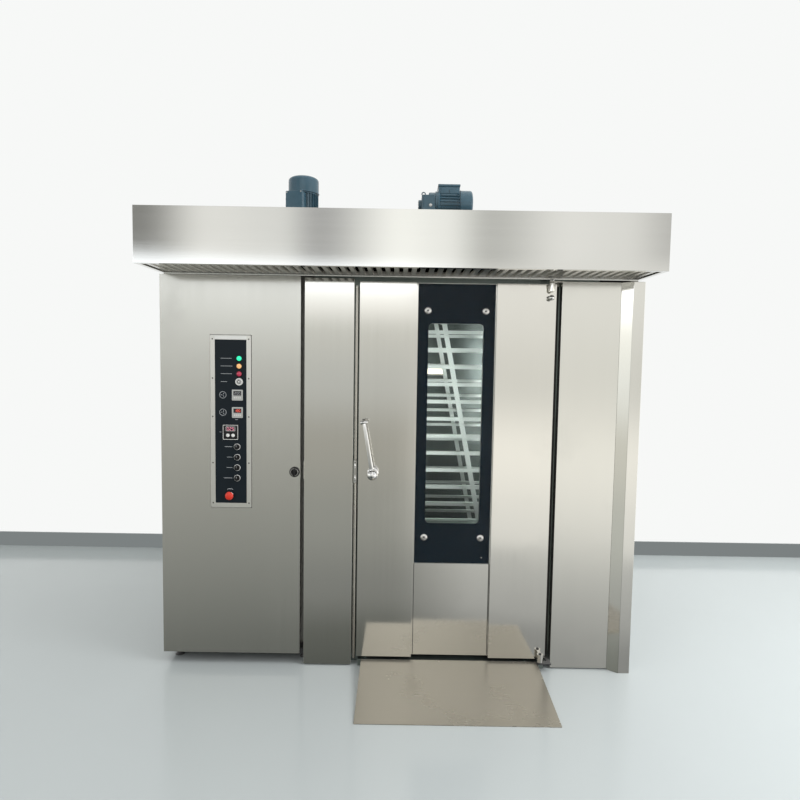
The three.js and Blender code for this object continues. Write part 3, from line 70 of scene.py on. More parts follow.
shot = {
    "eye": (0.004, -3.406, 1.530),
    "pitchDown": 4.0,   # degrees
    "roll": 0.9,        # degrees
    "lens": 27.0,
    "sensor": 36.0,
}
lamps = {   # place, target and size in metres, watts, and whether the steel mirrors it
    "topLamp": ((0.0, -0.6, 5.2), (0.0, 0.0, 0.0), (5.0, 4.0), 95.0, False),
    "frontLamp": ((-1.8, -5.5, 3.6), (0.0, -0.5, 1.0), (4.0, 2.4), 40.0, False),
    "sideLamp": ((3.5, -1.8, 2.8), (2.4, -1.4, 0.0), (2.6, 3.0), 130.0, False),
    "chamberLamp": ((0.80, -0.30, 1.35), (0.1, 0.3, 1.3), (0.06, 1.1), 7.0, True),
    "chamberLampLeft": ((-0.25, -0.30, 1.35), (0.4, 0.3, 1.3), (0.06, 1.1), 7.0, True),
}


def addCamera():
    data = bpy.data.cameras.new("ovenCamera")
    data.lens = shot["lens"]
    data.sensor_width = shot["sensor"]
    camera = bpy.data.objects.new("ovenCamera", data)
    bpy.context.scene.collection.objects.link(camera)
    tilt = Matrix.Rotation(math.radians(90 - shot["pitchDown"]), 4, "X")
    roll = Matrix.Rotation(math.radians(shot["roll"]), 4, "Z")
    camera.matrix_world = Matrix.Translation(Vector(shot["eye"])) @ tilt @ roll
    bpy.context.scene.camera = camera


def addLamp(name, place, target, size, power, mirrored):
    data = bpy.data.lights.new(name, "AREA")
    data.shape = "RECTANGLE"
    data.size, data.size_y = size
    data.energy = power
    lamp = bpy.data.objects.new(name, data)
    bpy.context.scene.collection.objects.link(lamp)
    aim = (Vector(target) - Vector(place)).to_track_quat("-Z", "Y")
    lamp.matrix_world = Matrix.Translation(Vector(place)) @ aim.to_matrix().to_4x4()
    lamp.visible_camera = lamp.visible_transmission = False
    lamp.visible_glossy = mirrored   # the steel mirrors the room, not the studio's lamps


addCamera()
for name, lamp in lamps.items():
    addLamp(name, *lamp)
print("camera and lamps placed")

# material building

def newGroup(name, inputs, outputs):
    tree = bpy.data.node_groups.new(name, "ShaderNodeTree")
    for title, kind, default in inputs:
        socket = tree.interface.new_socket(title, in_out="INPUT", socket_type=kind)
        socket.default_value = default
    for title, kind in outputs:
        tree.interface.new_socket(title, in_out="OUTPUT", socket_type=kind)
    return tree, tree.nodes.new("NodeGroupInput"), tree.nodes.new("NodeGroupOutput")


def addNode(tree, kind, links=None, **settings):
    # each entry of links feeds an input, named or numbered, from a socket or with a constant
    node = tree.nodes.new(kind)
    for title, value in settings.items():
        setattr(node, title, value)
    for title, value in (links or {}).items():
        if isinstance(value, bpy.types.NodeSocket):
            tree.links.new(value, node.inputs[title])
        else:
            node.inputs[title].default_value = value
    return node


def addMath(tree, operation, first, second=0.0, clamp=False):
    links = {0: first, 1: second}
    return addNode(tree, "ShaderNodeMath", links, operation=operation, use_clamp=clamp).outputs[0]


def addRange(tree, value, low, high, toLow, toHigh):
    links = {"Value": value, "From Min": low, "From Max": high, "To Min": toLow, "To Max": toHigh}
    return addNode(tree, "ShaderNodeMapRange", links).outputs["Result"]


def addMix(tree, factor, first, second):
    # a colour mix has its colours at inputs 6 and 7 and its result at output 2
    return addNode(tree, "ShaderNodeMix", {0: factor, 6: first, 7: second}, data_type="RGBA").outputs[2]


def addNoise(tree, vector, scale, detail=3.0, roughness=0.55):
    links = {"Vector": vector, "Scale": scale, "Detail": detail, "Roughness": roughness}
    return addNode(tree, "ShaderNodeTexNoise", links).outputs[0]


def grainGroup():
    # fine lines of a brushed sheet, slow streaks along them and soft wiped smudges
    tree, start, end = newGroup("brushedGrain", [
        ("Place", "NodeSocketVector", (0, 0, 0)), ("Lines", "NodeSocketVector", (900, 900, 6)),
    ], [("Height", "NodeSocketFloat"), ("Streak", "NodeSocketFloat"), ("Smudge", "NodeSocketFloat")])
    lines = addNode(tree, "ShaderNodeVectorMath", {0: start.outputs["Place"], 1: start.outputs["Lines"]},
                    operation="MULTIPLY").outputs[0]
    slow = addNode(tree, "ShaderNodeVectorMath", {0: lines, 1: (0.045, 0.045, 0.045)},
                   operation="MULTIPLY").outputs[0]
    tree.links.new(addNoise(tree, lines, 1.0, 2.0), end.inputs["Height"])
    tree.links.new(addNoise(tree, slow, 1.0, 4.0), end.inputs["Streak"])
    cloud = addNoise(tree, start.outputs["Place"], 2.6, 5.0, 0.62)
    tree.links.new(addRange(tree, cloud, 0.52, 0.72, 0.0, 1.0), end.inputs["Smudge"])
    return tree


def dustGroup():
    # settled dust on what faces up, broken by noise
    tree, start, end = newGroup("settledDust", [
        ("Place", "NodeSocketVector", (0, 0, 0)), ("Amount", "NodeSocketFloat", 0.5),
    ], [("Mask", "NodeSocketFloat")])
    normal = addNode(tree, "ShaderNodeNewGeometry").outputs["Normal"]
    upward = addNode(tree, "ShaderNodeSeparateXYZ", {0: normal}).outputs["Z"]
    flat = addRange(tree, upward, 0.35, 1.0, 0.0, 1.0)
    patches = addRange(tree, addNoise(tree, start.outputs["Place"], 14.0, 6.0, 0.6), 0.35, 0.7, 0.25, 1.0)
    both = addMath(tree, "MULTIPLY", flat, patches)
    tree.links.new(addMath(tree, "MULTIPLY", both, start.outputs["Amount"], True), end.inputs["Mask"])
    return tree


def mottleGroup():
    # the fine skin of paint, rubber or moulded plastic
    tree, start, end = newGroup("skinMottle", [
        ("Place", "NodeSocketVector", (0, 0, 0)), ("Grain", "NodeSocketFloat", 600.0),
    ], [("Height", "NodeSocketFloat"), ("Cloud", "NodeSocketFloat")])
    tree.links.new(addNoise(tree, start.outputs["Place"], start.outputs["Grain"], 2.0), end.inputs["Height"])
    tree.links.new(addNoise(tree, start.outputs["Place"], 22.0, 4.0), end.inputs["Cloud"])
    return tree


brushedGrain = grainGroup()
settledDust = dustGroup()
skinMottle = mottleGroup()


def newMaterial(name, metallic=0.0, roughness=0.4, colour=(0.5, 0.5, 0.5), **constants):
    material = bpy.data.materials.new(name)
    material.use_nodes = True
    tree = material.node_tree
    shader = tree.nodes["Principled BSDF"]
    shader.inputs["Metallic"].default_value = metallic
    shader.inputs["Roughness"].default_value = roughness
    shader.inputs["Base Color"].default_value = (*colour, 1.0)
    for title, value in constants.items():
        shader.inputs[title].default_value = value
    place = addNode(tree, "ShaderNodeTexCoord").outputs["Object"]
    return material, tree, shader, place


def mapped(tree, place, scale):
    return addNode(tree, "ShaderNodeMapping", {"Vector": place, "Scale": scale}).outputs["Vector"]


def bumpFrom(tree, shader, height, strength, distance):
    bump = addNode(tree, "ShaderNodeBump", {"Strength": strength, "Distance": distance, "Height": height})
    tree.links.new(bump.outputs["Normal"], shader.inputs["Normal"])


def tinted(colour, factor):
    return (*[min(1.0, channel * factor) for channel in colour], 1.0)


alongX, alongY, alongZ = (5, 900, 900), (900, 5, 900), (900, 900, 5)
steelColumns = ("colour", "lines", "roughness", "spread", "streak", "dull", "bump", "stain")
steelLooks = {   # a row for each metal; spread is the roughness's, dull and stain are what a smudge adds
    "cabinetSteel": ((0.62, 0.62, 0.59), alongZ, 0.22, 0.02, 0.02, 0.05, 0.08, 0.15),
    "doorSteel": ((0.68, 0.67, 0.635), alongZ, 0.085, 0.01, 0.015, 0.05, 0.05, 0.12),
    "panelSteel": ((0.66, 0.655, 0.625), alongZ, 0.09, 0.01, 0.015, 0.05, 0.05, 0.12),
    "sideSteel": ((0.68, 0.675, 0.64), alongZ, 0.17, 0.015, 0.015, 0.05, 0.05, 0.12),
    "hoodSteel": ((0.64, 0.64, 0.62), alongX, 0.065, 0.01, 0.015, 0.02, 0.05, 0.05),
    # darker than the panel steel: painted shade for the latch post standing in the gap beside the door; the top
    # hinge bracket takes it too
    "shadedPostSteel": ((0.40, 0.39, 0.36), alongZ, 0.26, 0.02, 0.02, 0.05, 0.05, 0.1),
    "grilleSteel": ((0.60, 0.59, 0.56), alongY, 0.30, 0.03, 0.04, 0.08, 0.08, 0.2),
    "wallSteel": ((0.47, 0.47, 0.45), alongZ, 0.42, 0.04, 0.04, 0.08, 0.14, 0.3),
    "roofSteel": ((0.50, 0.50, 0.48), alongX, 0.46, 0.04, 0.04, 0.1, 0.12, 0.4),
    "liningSteel": ((0.18, 0.21, 0.20), alongZ, 0.30, 0.03, 0.05, 0.12, 0.08, 0.35),
    "rackSteel": ((0.82, 0.86, 0.83), (160, 160, 160), 0.34, 0.04, 0.05, 0.1, 0.05, 0.3),
    "rampSteel": ((0.39, 0.365, 0.31), alongX, 0.26, 0.01, 0.02, 0.05, 0.05, 0.2),
    "chrome": ((0.80, 0.80, 0.80), (60, 60, 60), 0.07, 0.02, 0.02, 0.06, 0.02, 0.0),
    "boltSteel": ((0.72, 0.72, 0.71), (300, 300, 300), 0.22, 0.03, 0.03, 0.05, 0.03, 0.0),
    "screwSteel": ((0.56, 0.56, 0.55), (700, 700, 700), 0.30, 0.05, 0.06, 0.1, 0.05, 0.0),
    "aluminium": ((0.73, 0.73, 0.70), alongZ, 0.32, 0.03, 0.03, 0.08, 0.10, 0.2),
}
stained = {   # metallic and the stain's own colour
    "liningSteel": (0.9, (0.18, 0.17, 0.14)),
    "rackSteel": (0.8, (0.60, 0.58, 0.52)),
    "rampSteel": (0.7, (0.37, 0.34, 0.28)),
}


def steelMaterial(name, row):
    look = dict(zip(steelColumns, row))
    colour, vary, rough, spread = look["colour"], look["streak"], look["roughness"], look["spread"]
    metallic, stainColour = stained.get(name, (1.0, colour))
    material, tree, shader, place = newMaterial(name, metallic)
    grain = addNode(tree, "ShaderNodeGroup", {"Place": place, "Lines": look["lines"]}, node_tree=brushedGrain)
    streak, smudge = grain.outputs["Streak"], grain.outputs["Smudge"]
    streaked = addMix(tree, streak, tinted(colour, 1 - vary), tinted(colour, 1 + vary))
    wiped = addMath(tree, "MULTIPLY", smudge, look["stain"])
    tree.links.new(addMix(tree, wiped, streaked, tinted(stainColour, 0.8)), shader.inputs["Base Color"])
    polish = addRange(tree, streak, 0.3, 0.7, rough - spread, rough + spread)
    dulled = addMath(tree, "MULTIPLY", smudge, look["dull"])
    tree.links.new(addMath(tree, "ADD", polish, dulled, True), shader.inputs["Roughness"])
    bumpFrom(tree, shader, grain.outputs["Height"], look["bump"], 0.0002)
    return material


looks = {name: steelMaterial(name, row) for name, row in steelLooks.items()}
print("steel looks made:", len(looks))


mottledColumns = ("colour", "roughness", "grain", "bump", "dust", "vary", "specular")
mottledLooks = {   # a row for each paint, rubber or plastic; vary is that of the colour, from cloud to cloud
    "motorPaint": ((0.034, 0.078, 0.108), 0.20, 420, 0.2, 0.15, 0.12, 0.5),
    "castPaint": ((0.032, 0.072, 0.098), 0.32, 160, 0.5, 0.2, 0.15, 0.5),
    "framePaint": ((0.030, 0.031, 0.034), 0.48, 500, 0.3, 0.3, 0.08, 0.5),
    "panelNavy": ((0.005, 0.010, 0.015), 0.34, 900, 0.08, 0.0, 0.1, 0.2),
    "blackPlastic": ((0.008, 0.008, 0.009), 0.30, 900, 0.15, 0.0, 0.08, 0.3),
    "greyPlastic": ((0.42, 0.43, 0.42), 0.42, 800, 0.2, 0.0, 0.04, 0.5),
    "paleGrey": ((0.62, 0.62, 0.60), 0.48, 700, 0.15, 0.2, 0.04, 0.5),
    "switchWhite": ((0.78, 0.79, 0.78), 0.38, 800, 0.1, 0.0, 0.03, 0.5),
    "stopRed": ((0.62, 0.035, 0.018), 0.30, 700, 0.12, 0.0, 0.06, 0.5),
    "siliconeSeal": ((0.022, 0.022, 0.022), 0.62, 500, 0.3, 0.0, 0.08, 0.5),
    "wheelRubber": ((0.040, 0.040, 0.042), 0.58, 380, 0.4, 0.3, 0.08, 0.5),
    "fritBlack": ((0.003, 0.010, 0.018), 0.30, 900, 0.02, 0.0, 0.1, 0.05),
    "legendPaint": ((0.50, 0.53, 0.56), 0.55, 900, 0.1, 0.0, 0.1, 0.5),
    "screenDark": ((0.02, 0.018, 0.02), 0.14, 900, 0.02, 0.0, 0.08, 0.5),
}
grainDepth = {"castPaint": 0.0006}   # metres, where it isn't that of a fine skin
dustColour = (0.42, 0.41, 0.38, 1)


def mottledMaterial(name, row):
    # mottled colour, fine grain and settled dust
    look = dict(zip(mottledColumns, row))
    colour, vary, rough = look["colour"], look["vary"], look["roughness"]
    material, tree, shader, place = newMaterial(name, 0.0, rough, **{"Specular IOR Level": look["specular"]})
    skin = addNode(tree, "ShaderNodeGroup", {"Place": place, "Grain": look["grain"]}, node_tree=skinMottle)
    base = addMix(tree, skin.outputs["Cloud"], tinted(colour, 1 - vary), tinted(colour, 1 + vary))
    dust = addNode(tree, "ShaderNodeGroup", {"Place": place, "Amount": look["dust"]}, node_tree=settledDust)
    tree.links.new(addMix(tree, dust.outputs["Mask"], base, dustColour), shader.inputs["Base Color"])
    clouded = addRange(tree, skin.outputs["Cloud"], 0.3, 0.7, rough - 0.04, rough + 0.06)
    dusty = addMath(tree, "MULTIPLY", dust.outputs["Mask"], 0.3)
    tree.links.new(addMath(tree, "ADD", clouded, dusty, True), shader.inputs["Roughness"])
    bumpFrom(tree, shader, skin.outputs["Height"], look["bump"], grainDepth.get(name, 0.0002))
    return material


for name, row in mottledLooks.items():
    looks[name] = mottledMaterial(name, row)


def glassMaterial(name, tint, bend):
    constants = {"Transmission Weight": 1.0, "IOR": bend}
    material, tree, shader, place = newMaterial(name, 0.0, 0.0, tint, **constants)
    smear = addNoise(tree, mapped(tree, place, (3, 3, 1.4)), 2.2, 5.0, 0.6)
    tree.links.new(addRange(tree, smear, 0.55, 0.8, 0.0, 0.03), shader.inputs["Roughness"])
    return material


glowLooks = {   # colour and strength of the light
    "lampGreen": ((0.02, 0.70, 0.36), 1.0),
    "lampAmber": ((0.80, 0.44, 0.18), 0.55),
    "lampRed": ((0.42, 0.03, 0.07), 0.3),
    "digitRed": ((1.0, 0.10, 0.06), 1.6),
    "digitPink": ((0.95, 0.30, 0.42), 1.0),
    "ovenLamp": ((1.0, 0.90, 0.72), 2.5),
}


def glowMaterial(name, colour, strength):
    # a lit lens: a brighter heart over a moulded, finely ribbed face
    constants = {"Emission Strength": strength, "Coat Weight": 0.4}
    material, tree, shader, place = newMaterial(name, 0.0, 0.25, colour, **constants)
    cells = addNode(tree, "ShaderNodeTexVoronoi", {"Vector": place, "Scale": 900.0}).outputs["Distance"]
    glow = addMix(tree, addRange(tree, cells, 0.0, 0.7, 0.0, 0.35), (*colour, 1), tinted(colour, 0.55))
    tree.links.new(glow, shader.inputs["Emission Color"])
    tree.links.new(glow, shader.inputs["Base Color"])
    bumpFrom(tree, shader, cells, 0.2, 0.0003)
    return material


looks["doorGlass"] = glassMaterial("doorGlass", (0.95, 0.98, 0.97), 1.16)
looks["innerGlass"] = glassMaterial("innerGlass", (0.97, 0.99, 0.98), 1.15)
for name, look in glowLooks.items():
    looks[name] = glowMaterial(name, *look)
print("looks made:", len(looks))


# floor, backdrop and surroundings

studio = {
    "floorColour": (0.42, 0.455, 0.46),
    "floorHalf": 9.0,
    "mirrorEdge": -0.522,    # ahead of this the steel mirrors the room, not the floor
    "fadeFrom": 6.0,
    "fadeTo": 9.0,
    "wallColour": (0.93, 0.94, 0.93),
    "wallY": 1.27,
    "wallTop": 6.0,
    "skirtingColour": (0.20, 0.22, 0.22),
    "skirting": 0.11,
    "skirtingProud": 0.01,
}
room = {
    "strength": 0.8,
    "backdrop": (1.17, 1.17, 1.16),
    "fieldsFrom": 0.128,     # above this height the room's light and dark fields stand side by side
    "fieldsBlend": 0.035,
    "leftByHeight": (
        (0.0, (0.12, 0.13, 0.12)), (0.07, (0.19, 0.20, 0.18)), (0.13, (0.36, 0.37, 0.35)),
        (0.24, (0.50, 0.51, 0.47)), (0.36, (0.62, 0.61, 0.55)), (0.46, (0.86, 0.87, 0.83)),
        (0.54, (0.98, 0.98, 0.92)), (0.60, (1.75, 1.74, 1.68)), (0.625, (2.8, 2.9, 3.0)),
        (1.0, (2.8, 2.9, 3.0))),
    "rightByHeight": (
        (0.0, (0.44, 0.45, 0.44)), (0.085, (0.42, 0.43, 0.42)), (0.11, (0.66, 0.67, 0.65)),
        (0.19, (0.80, 0.81, 0.78)), (0.212, (1.26, 1.25, 1.19)), (0.35, (1.55, 1.52, 1.42)),
        (0.46, (1.16, 1.15, 1.08)), (0.62, (1.35, 1.34, 1.28)), (1.0, (1.0, 1.0, 1.0))),
    "sides": (0.0, 0.13),    # the left field gives way to the right one between these
    "flanks": (0.62, 1.1, 1.0, 1.7),   # past the first the surroundings grow lighter, to the last factor
    "byTurn": (
        (0.0, (0.50, 0.50, 0.49)), (0.14, (0.42, 0.42, 0.40)), (0.235, (1.42, 1.41, 1.36)),
        (0.33, (1.30, 1.30, 1.26)), (0.385, (0.74, 0.74, 0.73)), (0.50, (1.75, 1.75, 1.68)),
        (0.555, (1.60, 1.60, 1.54)), (0.62, (0.92, 0.92, 0.88)), (0.73, (1.42, 1.41, 1.36)),
        (0.80, (1.35, 1.34, 1.29)), (0.88, (0.90, 0.89, 0.86)), (1.0, (0.7, 0.7, 0.7))),
}


def backdropSeen(tree):
    # what the camera, a mirror or a glass sees of the backdrop is plain light, for the rest it is a surface
    path = addNode(tree, "ShaderNodeLightPath")
    seen = addMath(tree, "ADD", path.outputs["Is Camera Ray"], path.outputs["Is Glossy Ray"], True)
    return addMath(tree, "ADD", seen, path.outputs["Is Transmission Ray"], True)


def floorMaterial():
    colour = studio["floorColour"]
    material, tree, shader, place = newMaterial("studioFloor", 0.0, 0.32, colour)
    cloud = addNoise(tree, mapped(tree, place, (0.5, 0.5, 0.5)), 1.6, 4.0)
    clouded = addMix(tree, cloud, tinted(colour, 0.97), tinted(colour, 1.03))
    tree.links.new(clouded, shader.inputs["Base Color"])
    tree.links.new(addRange(tree, cloud, 0.3, 0.7, 0.12, 0.2), shader.inputs["Roughness"])
    # ahead of the mirror edge the floor is there for the camera alone, so that steel mirrors the room instead
    forwards = addNode(tree, "ShaderNodeSeparateXYZ", {0: place}).outputs["Y"]
    ahead = addMath(tree, "LESS_THAN", forwards, studio["mirrorEdge"])
    direct = addNode(tree, "ShaderNodeLightPath").outputs["Is Camera Ray"]
    hidden = addMath(tree, "SUBTRACT", ahead, direct, True)
    clear = addNode(tree, "ShaderNodeBsdfTransparent")
    choice = addNode(tree, "ShaderNodeMixShader", {0: hidden, 1: shader.outputs[0], 2: clear.outputs[0]})
    # and far from the oven it fades into the backdrop
    reach = addNode(tree, "ShaderNodeVectorMath", {0: place}, operation="LENGTH").outputs["Value"]
    fade = addRange(tree, reach, studio["fadeFrom"], studio["fadeTo"], 0.0, 1.0)
    faded = addMath(tree, "MULTIPLY", fade, direct)
    light = {"Color": (*room["backdrop"], 1), "Strength": room["strength"]}
    backdrop = addNode(tree, "ShaderNodeEmission", light)
    ended = addNode(tree, "ShaderNodeMixShader", {0: faded, 1: choice.outputs[0], 2: backdrop.outputs[0]})
    tree.links.new(ended.outputs[0], tree.nodes["Material Output"].inputs["Surface"])
    return material


def wallMaterial(name, colour):
    # seen from its front only, and without a shadow, so that it hides nothing from behind
    material, tree, shader, place = newMaterial(name, 0.0, 0.6, colour)
    light = addNode(tree, "ShaderNodeEmission", {"Color": (*colour, 1), "Strength": 1.0})
    lit = addNode(tree, "ShaderNodeMixShader",
                  {0: backdropSeen(tree), 1: shader.outputs[0], 2: light.outputs[0]})
    clear = addNode(tree, "ShaderNodeBsdfTransparent")
    turned = addNode(tree, "ShaderNodeNewGeometry").outputs["Backfacing"]
    passed = addMath(tree, "ADD", turned, addNode(tree, "ShaderNodeLightPath").outputs["Is Shadow Ray"], True)
    choice = addNode(tree, "ShaderNodeMixShader", {0: passed, 1: lit.outputs[0], 2: clear.outputs[0]})
    tree.links.new(choice.outputs[0], tree.nodes["Material Output"].inputs["Surface"])
    return material


def stagePiece(name, corners, material):
    shape = bmesh.new()
    shape.faces.new([shape.verts.new(corner) for corner in corners])
    mesh = bpy.data.meshes.new(name)
    shape.to_mesh(mesh)
    shape.free()
    mesh.materials.append(material)
    piece = bpy.data.objects.new(name, mesh)
    bpy.context.scene.collection.objects.link(piece)


def upright(y, low, high):
    half = studio["floorHalf"]
    return [(-half, y, low), (half, y, low), (half, y, high), (-half, y, high)]


def addStage():
    half, wallY, skirting = studio["floorHalf"], studio["wallY"], studio["skirting"]
    stagePiece("studioFloor", [(-half, -half, 0), (half, -half, 0), (half, half, 0), (-half, half, 0)],
               floorMaterial())
    stagePiece("studioWall", upright(wallY, skirting, studio["wallTop"]),
               wallMaterial("studioWall", studio["wallColour"]))
    stagePiece("studioSkirting", upright(wallY - studio["skirtingProud"], 0.0, skirting),
               wallMaterial("studioSkirting", studio["skirtingColour"]))


def colourRamp(tree, value, stops):
    ramp = addNode(tree, "ShaderNodeValToRGB", {"Fac": value})
    ramp.color_ramp.interpolation = "EASE"
    elements = ramp.color_ramp.elements
    while len(elements) < len(stops):
        elements.new(0.5)
    for element, (position, colour) in zip(elements, stops):
        element.position = position
        element.color = (*colour, 1)
    return ramp.outputs["Color"]


def addWorld():
    # a pale room: a darker field on the left, a lighter one on the right, broad upright fields above
    world = bpy.data.worlds.new("studioRoom")
    bpy.context.scene.world = world
    world.use_nodes = True
    tree = world.node_tree
    direction = addNode(tree, "ShaderNodeTexCoord").outputs["Generated"]
    parts = addNode(tree, "ShaderNodeSeparateXYZ", {0: direction})
    height = parts.outputs["Z"]
    step = addRange(tree, height, -0.5, 0.5, 0.0, 1.0)
    left, right = [colourRamp(tree, step, room[field]) for field in ("leftByHeight", "rightByHeight")]
    ratio = addMath(tree, "DIVIDE", parts.outputs["X"], addMath(tree, "ABSOLUTE", parts.outputs["Y"]))
    lower = addMix(tree, addRange(tree, ratio, *room["sides"], 0.0, 1.0), left, right)
    fields = colourRamp(tree, addRange(tree, ratio, -0.6, 0.6, 0.0, 1.0), room["byTurn"])
    start = room["fieldsFrom"]
    upper = addRange(tree, height, start, start + room["fieldsBlend"], 0.0, 1.0)
    shown = addMix(tree, upper, lower, fields)
    flank = addRange(tree, addMath(tree, "ABSOLUTE", ratio), *room["flanks"])
    lighter = addNode(tree, "ShaderNodeVectorMath", {0: shown, 3: flank}, operation="SCALE").outputs[0]
    path = addNode(tree, "ShaderNodeLightPath")
    seen = addMath(tree, "ADD", path.outputs["Is Camera Ray"], path.outputs["Is Transmission Ray"], True)
    background = tree.nodes["Background"]
    tree.links.new(addMix(tree, seen, lighter, (*room["backdrop"], 1)), background.inputs["Color"])
    background.inputs["Strength"].default_value = room["strength"]


addStage()
addWorld()
bpy.context.scene.view_settings.view_transform = "Standard"
print("room made")


# shaping helpers, sizes in millimetres

def boxOf(node):
    low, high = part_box(node)
    return [tuple(value / mm for value in corner) for corner in (low, high)]


def addBlock(shape, x, y, z, bevel=0.0, segments=2):
    made = bmesh.ops.create_cube(shape, size=1.0)["verts"]
    bmesh.ops.scale(shape, vec=(x[1] - x[0], y[1] - y[0], z[1] - z[0]), verts=made)
    bmesh.ops.translate(shape, vec=((x[0] + x[1]) / 2, (y[0] + y[1]) / 2, (z[0] + z[1]) / 2), verts=made)
    return bevelled(shape, made, bevel, segments) if bevel > 0 else made


def bevelled(shape, verts, offset, segments):
    edges = list({edge for vert in verts for edge in vert.link_edges})
    return bmesh.ops.bevel(shape, geom=edges, offset=offset, segments=segments, profile=0.5, affect="EDGES",
                           material=-1, clamp_overlap=True)["verts"]


turns = {
    "x": Matrix.Rotation(math.radians(90), 3, "Y"),
    "y": Matrix.Rotation(math.radians(90), 3, "X"),   # a profile's top then faces the front
    "z": Matrix.Identity(3),
    "back": Matrix.Rotation(math.radians(-90), 3, "X"),
    "left": Matrix.Rotation(math.radians(-90), 3, "Y"),
}


def addLathe(shape, profile, place, axis="z", steps=32):
    # profile of (radius, height) pairs, turned full circle about the axis
    rings = [shape.verts.new((radius, 0, height)) for radius, height in profile]
    edges = [shape.edges.new(pair) for pair in zip(rings, rings[1:])]
    bmesh.ops.spin(shape, geom=rings + edges, cent=(0, 0, 0), axis=(0, 0, 1), dvec=(0, 0, 0),
                   angle=math.tau, steps=steps, use_merge=True, use_duplicate=False)
    found, queue = set(rings), list(rings)
    while queue:
        for edge in queue.pop().link_edges:
            for vert in edge.verts:
                if vert not in found:
                    found.add(vert)
                    queue.append(vert)
    verts = list(found)
    bmesh.ops.remove_doubles(shape, verts=verts, dist=0.001)
    verts = [vert for vert in verts if vert.is_valid]
    faces = list({face for vert in verts for face in vert.link_faces})
    bmesh.ops.recalc_face_normals(shape, faces=faces)
    bmesh.ops.rotate(shape, matrix=turns[axis], verts=verts)
    bmesh.ops.translate(shape, vec=place, verts=verts)
    return verts


def addRod(shape, radius, place, length, axis, steps, rim):
    # a bar from place along the axis; both its rims are softened
    return addLathe(shape, [(0, 0), (radius - rim, 0), (radius, rim), (radius, length - rim),
                            (radius - rim, length), (0, length)], place, axis, steps)


def closedProfile(half):
    # an outline whose upper half mirrors its lower one
    return half + [(radius, -height) for radius, height in reversed(half)] + half[:1]


def ballProfile(radius, steps):
    # a half circle without its two poles
    angles = [math.pi * step / steps for step in range(1, steps)]
    return [(radius * math.sin(angle), -radius * math.cos(angle)) for angle in angles]


def circleLoop(x, z, radius, steps=32, start=0.0):
    angles = [math.tau * (step + start) / steps for step in range(steps)]
    return [(x + radius * math.cos(angle), z + radius * math.sin(angle)) for angle in angles]


def cornerLoop(x, z, radius, steps=5):
    # a rectangle with round corners
    points = []
    for turn, (cornerX, cornerZ) in enumerate(((x[1], z[1]), (x[0], z[1]), (x[0], z[0]), (x[1], z[0]))):
        middleX = cornerX + (-radius if cornerX == x[1] else radius)
        middleZ = cornerZ + (-radius if cornerZ == z[1] else radius)
        angles = [(turn + step / steps) * math.pi / 2 for step in range(steps + 1)]
        points += [(middleX + radius * math.cos(angle), middleZ + radius * math.sin(angle)) for angle in angles]
    return points


def about(middle, half):
    return (middle - half, middle + half)


def drawnIn(node, inset):
    # the width and the height of a node's box, less the inset at each edge
    low, high = boxOf(node)
    return (low[0] + inset, high[0] - inset), (low[2] + inset, high[2] - inset)


def addSheet(shape, edge, holes, y):
    # a flat sheet facing the front, from (x, z) loops, with its holes cut right through
    made = []
    for loop in (edge, *holes):
        verts = [shape.verts.new((x, y[1], z)) for x, z in loop]
        made += [shape.edges.new(pair) for pair in zip(verts, verts[1:] + verts[:1])]
    filled = bmesh.ops.triangle_fill(shape, edges=made, use_beauty=True, use_dissolve=False, normal=(0, -1, 0))
    faces = [item for item in filled["geom"] if isinstance(item, bmesh.types.BMFace)]
    pulled = bmesh.ops.extrude_face_region(shape, geom=faces)["geom"]
    front = [item for item in pulled if isinstance(item, bmesh.types.BMVert)]
    bmesh.ops.translate(shape, vec=(0, y[0] - y[1], 0), verts=front)
    bmesh.ops.recalc_face_normals(shape, faces=shape.faces)


def turnAbout(shape, verts, angle, centre, axis="Y"):
    bmesh.ops.rotate(shape, cent=centre, matrix=Matrix.Rotation(angle, 3, axis), verts=verts)


def roundEdges(shape, width, angle=32):
    least = math.radians(angle)
    sharp = [edge for edge in shape.edges if len(edge.link_faces) == 2 and edge.calc_face_angle() > least]
    bmesh.ops.bevel(shape, geom=sharp, offset=width, segments=2, profile=0.5, affect="EDGES",
                    material=-1, clamp_overlap=True)


def addScrews(shape, places, radius, head, axis="y"):
    # pan heads with a small recess; the head stands ahead of each place
    for place in places:
        addLathe(shape, [(0, 0), (radius, 0), (radius * 0.92, head * 0.55), (radius * 0.62, head * 0.95),
                         (radius * 0.38, head), (radius * 0.3, head * 0.55), (0, head * 0.5)], place, axis, 20)


def finishPiece(shape, name, look, body, replaces=(), smooth=35, scale=mm):
    if scale != 1:
        bmesh.ops.scale(shape, vec=(scale, scale, scale), verts=shape.verts)
    mesh = bpy.data.meshes.new(name)
    shape.to_mesh(mesh)
    shape.free()
    mesh.shade_smooth()
    mesh.set_sharp_from_angle(angle=math.radians(smooth))
    mesh.materials.append(looks[look])
    piece = bpy.data.objects.new(name, mesh)
    bpy.context.scene.collection.objects.link(piece)
    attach(piece, body)
    if replaces:
        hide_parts(*replaces)
    return piece


def flatten(piece):
    # large faces keep their own normal, only the rounded edges turn
    normals = piece.modifiers.new("evenFaces", "WEIGHTED_NORMAL")
    normals.mode = "FACE_AREA"
    normals.weight = 100
    normals.keep_sharp = True


def soften(node, look, width):
    # a copy of the solid, its edges rounded so that they catch the light
    source = nodes[node]
    shape = bmesh.new()
    shape.from_mesh(source.data)
    bmesh.ops.remove_doubles(shape, verts=shape.verts, dist=0.00002)
    bmesh.ops.dissolve_limit(shape, angle_limit=math.radians(1.0), verts=shape.verts, edges=shape.edges,
                             use_dissolve_boundaries=False, delimit={"NORMAL"})
    roundEdges(shape, width * mm)
    flatten(finishPiece(shape, node + "_finished", look, source["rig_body"], (node,), smooth=60, scale=1))


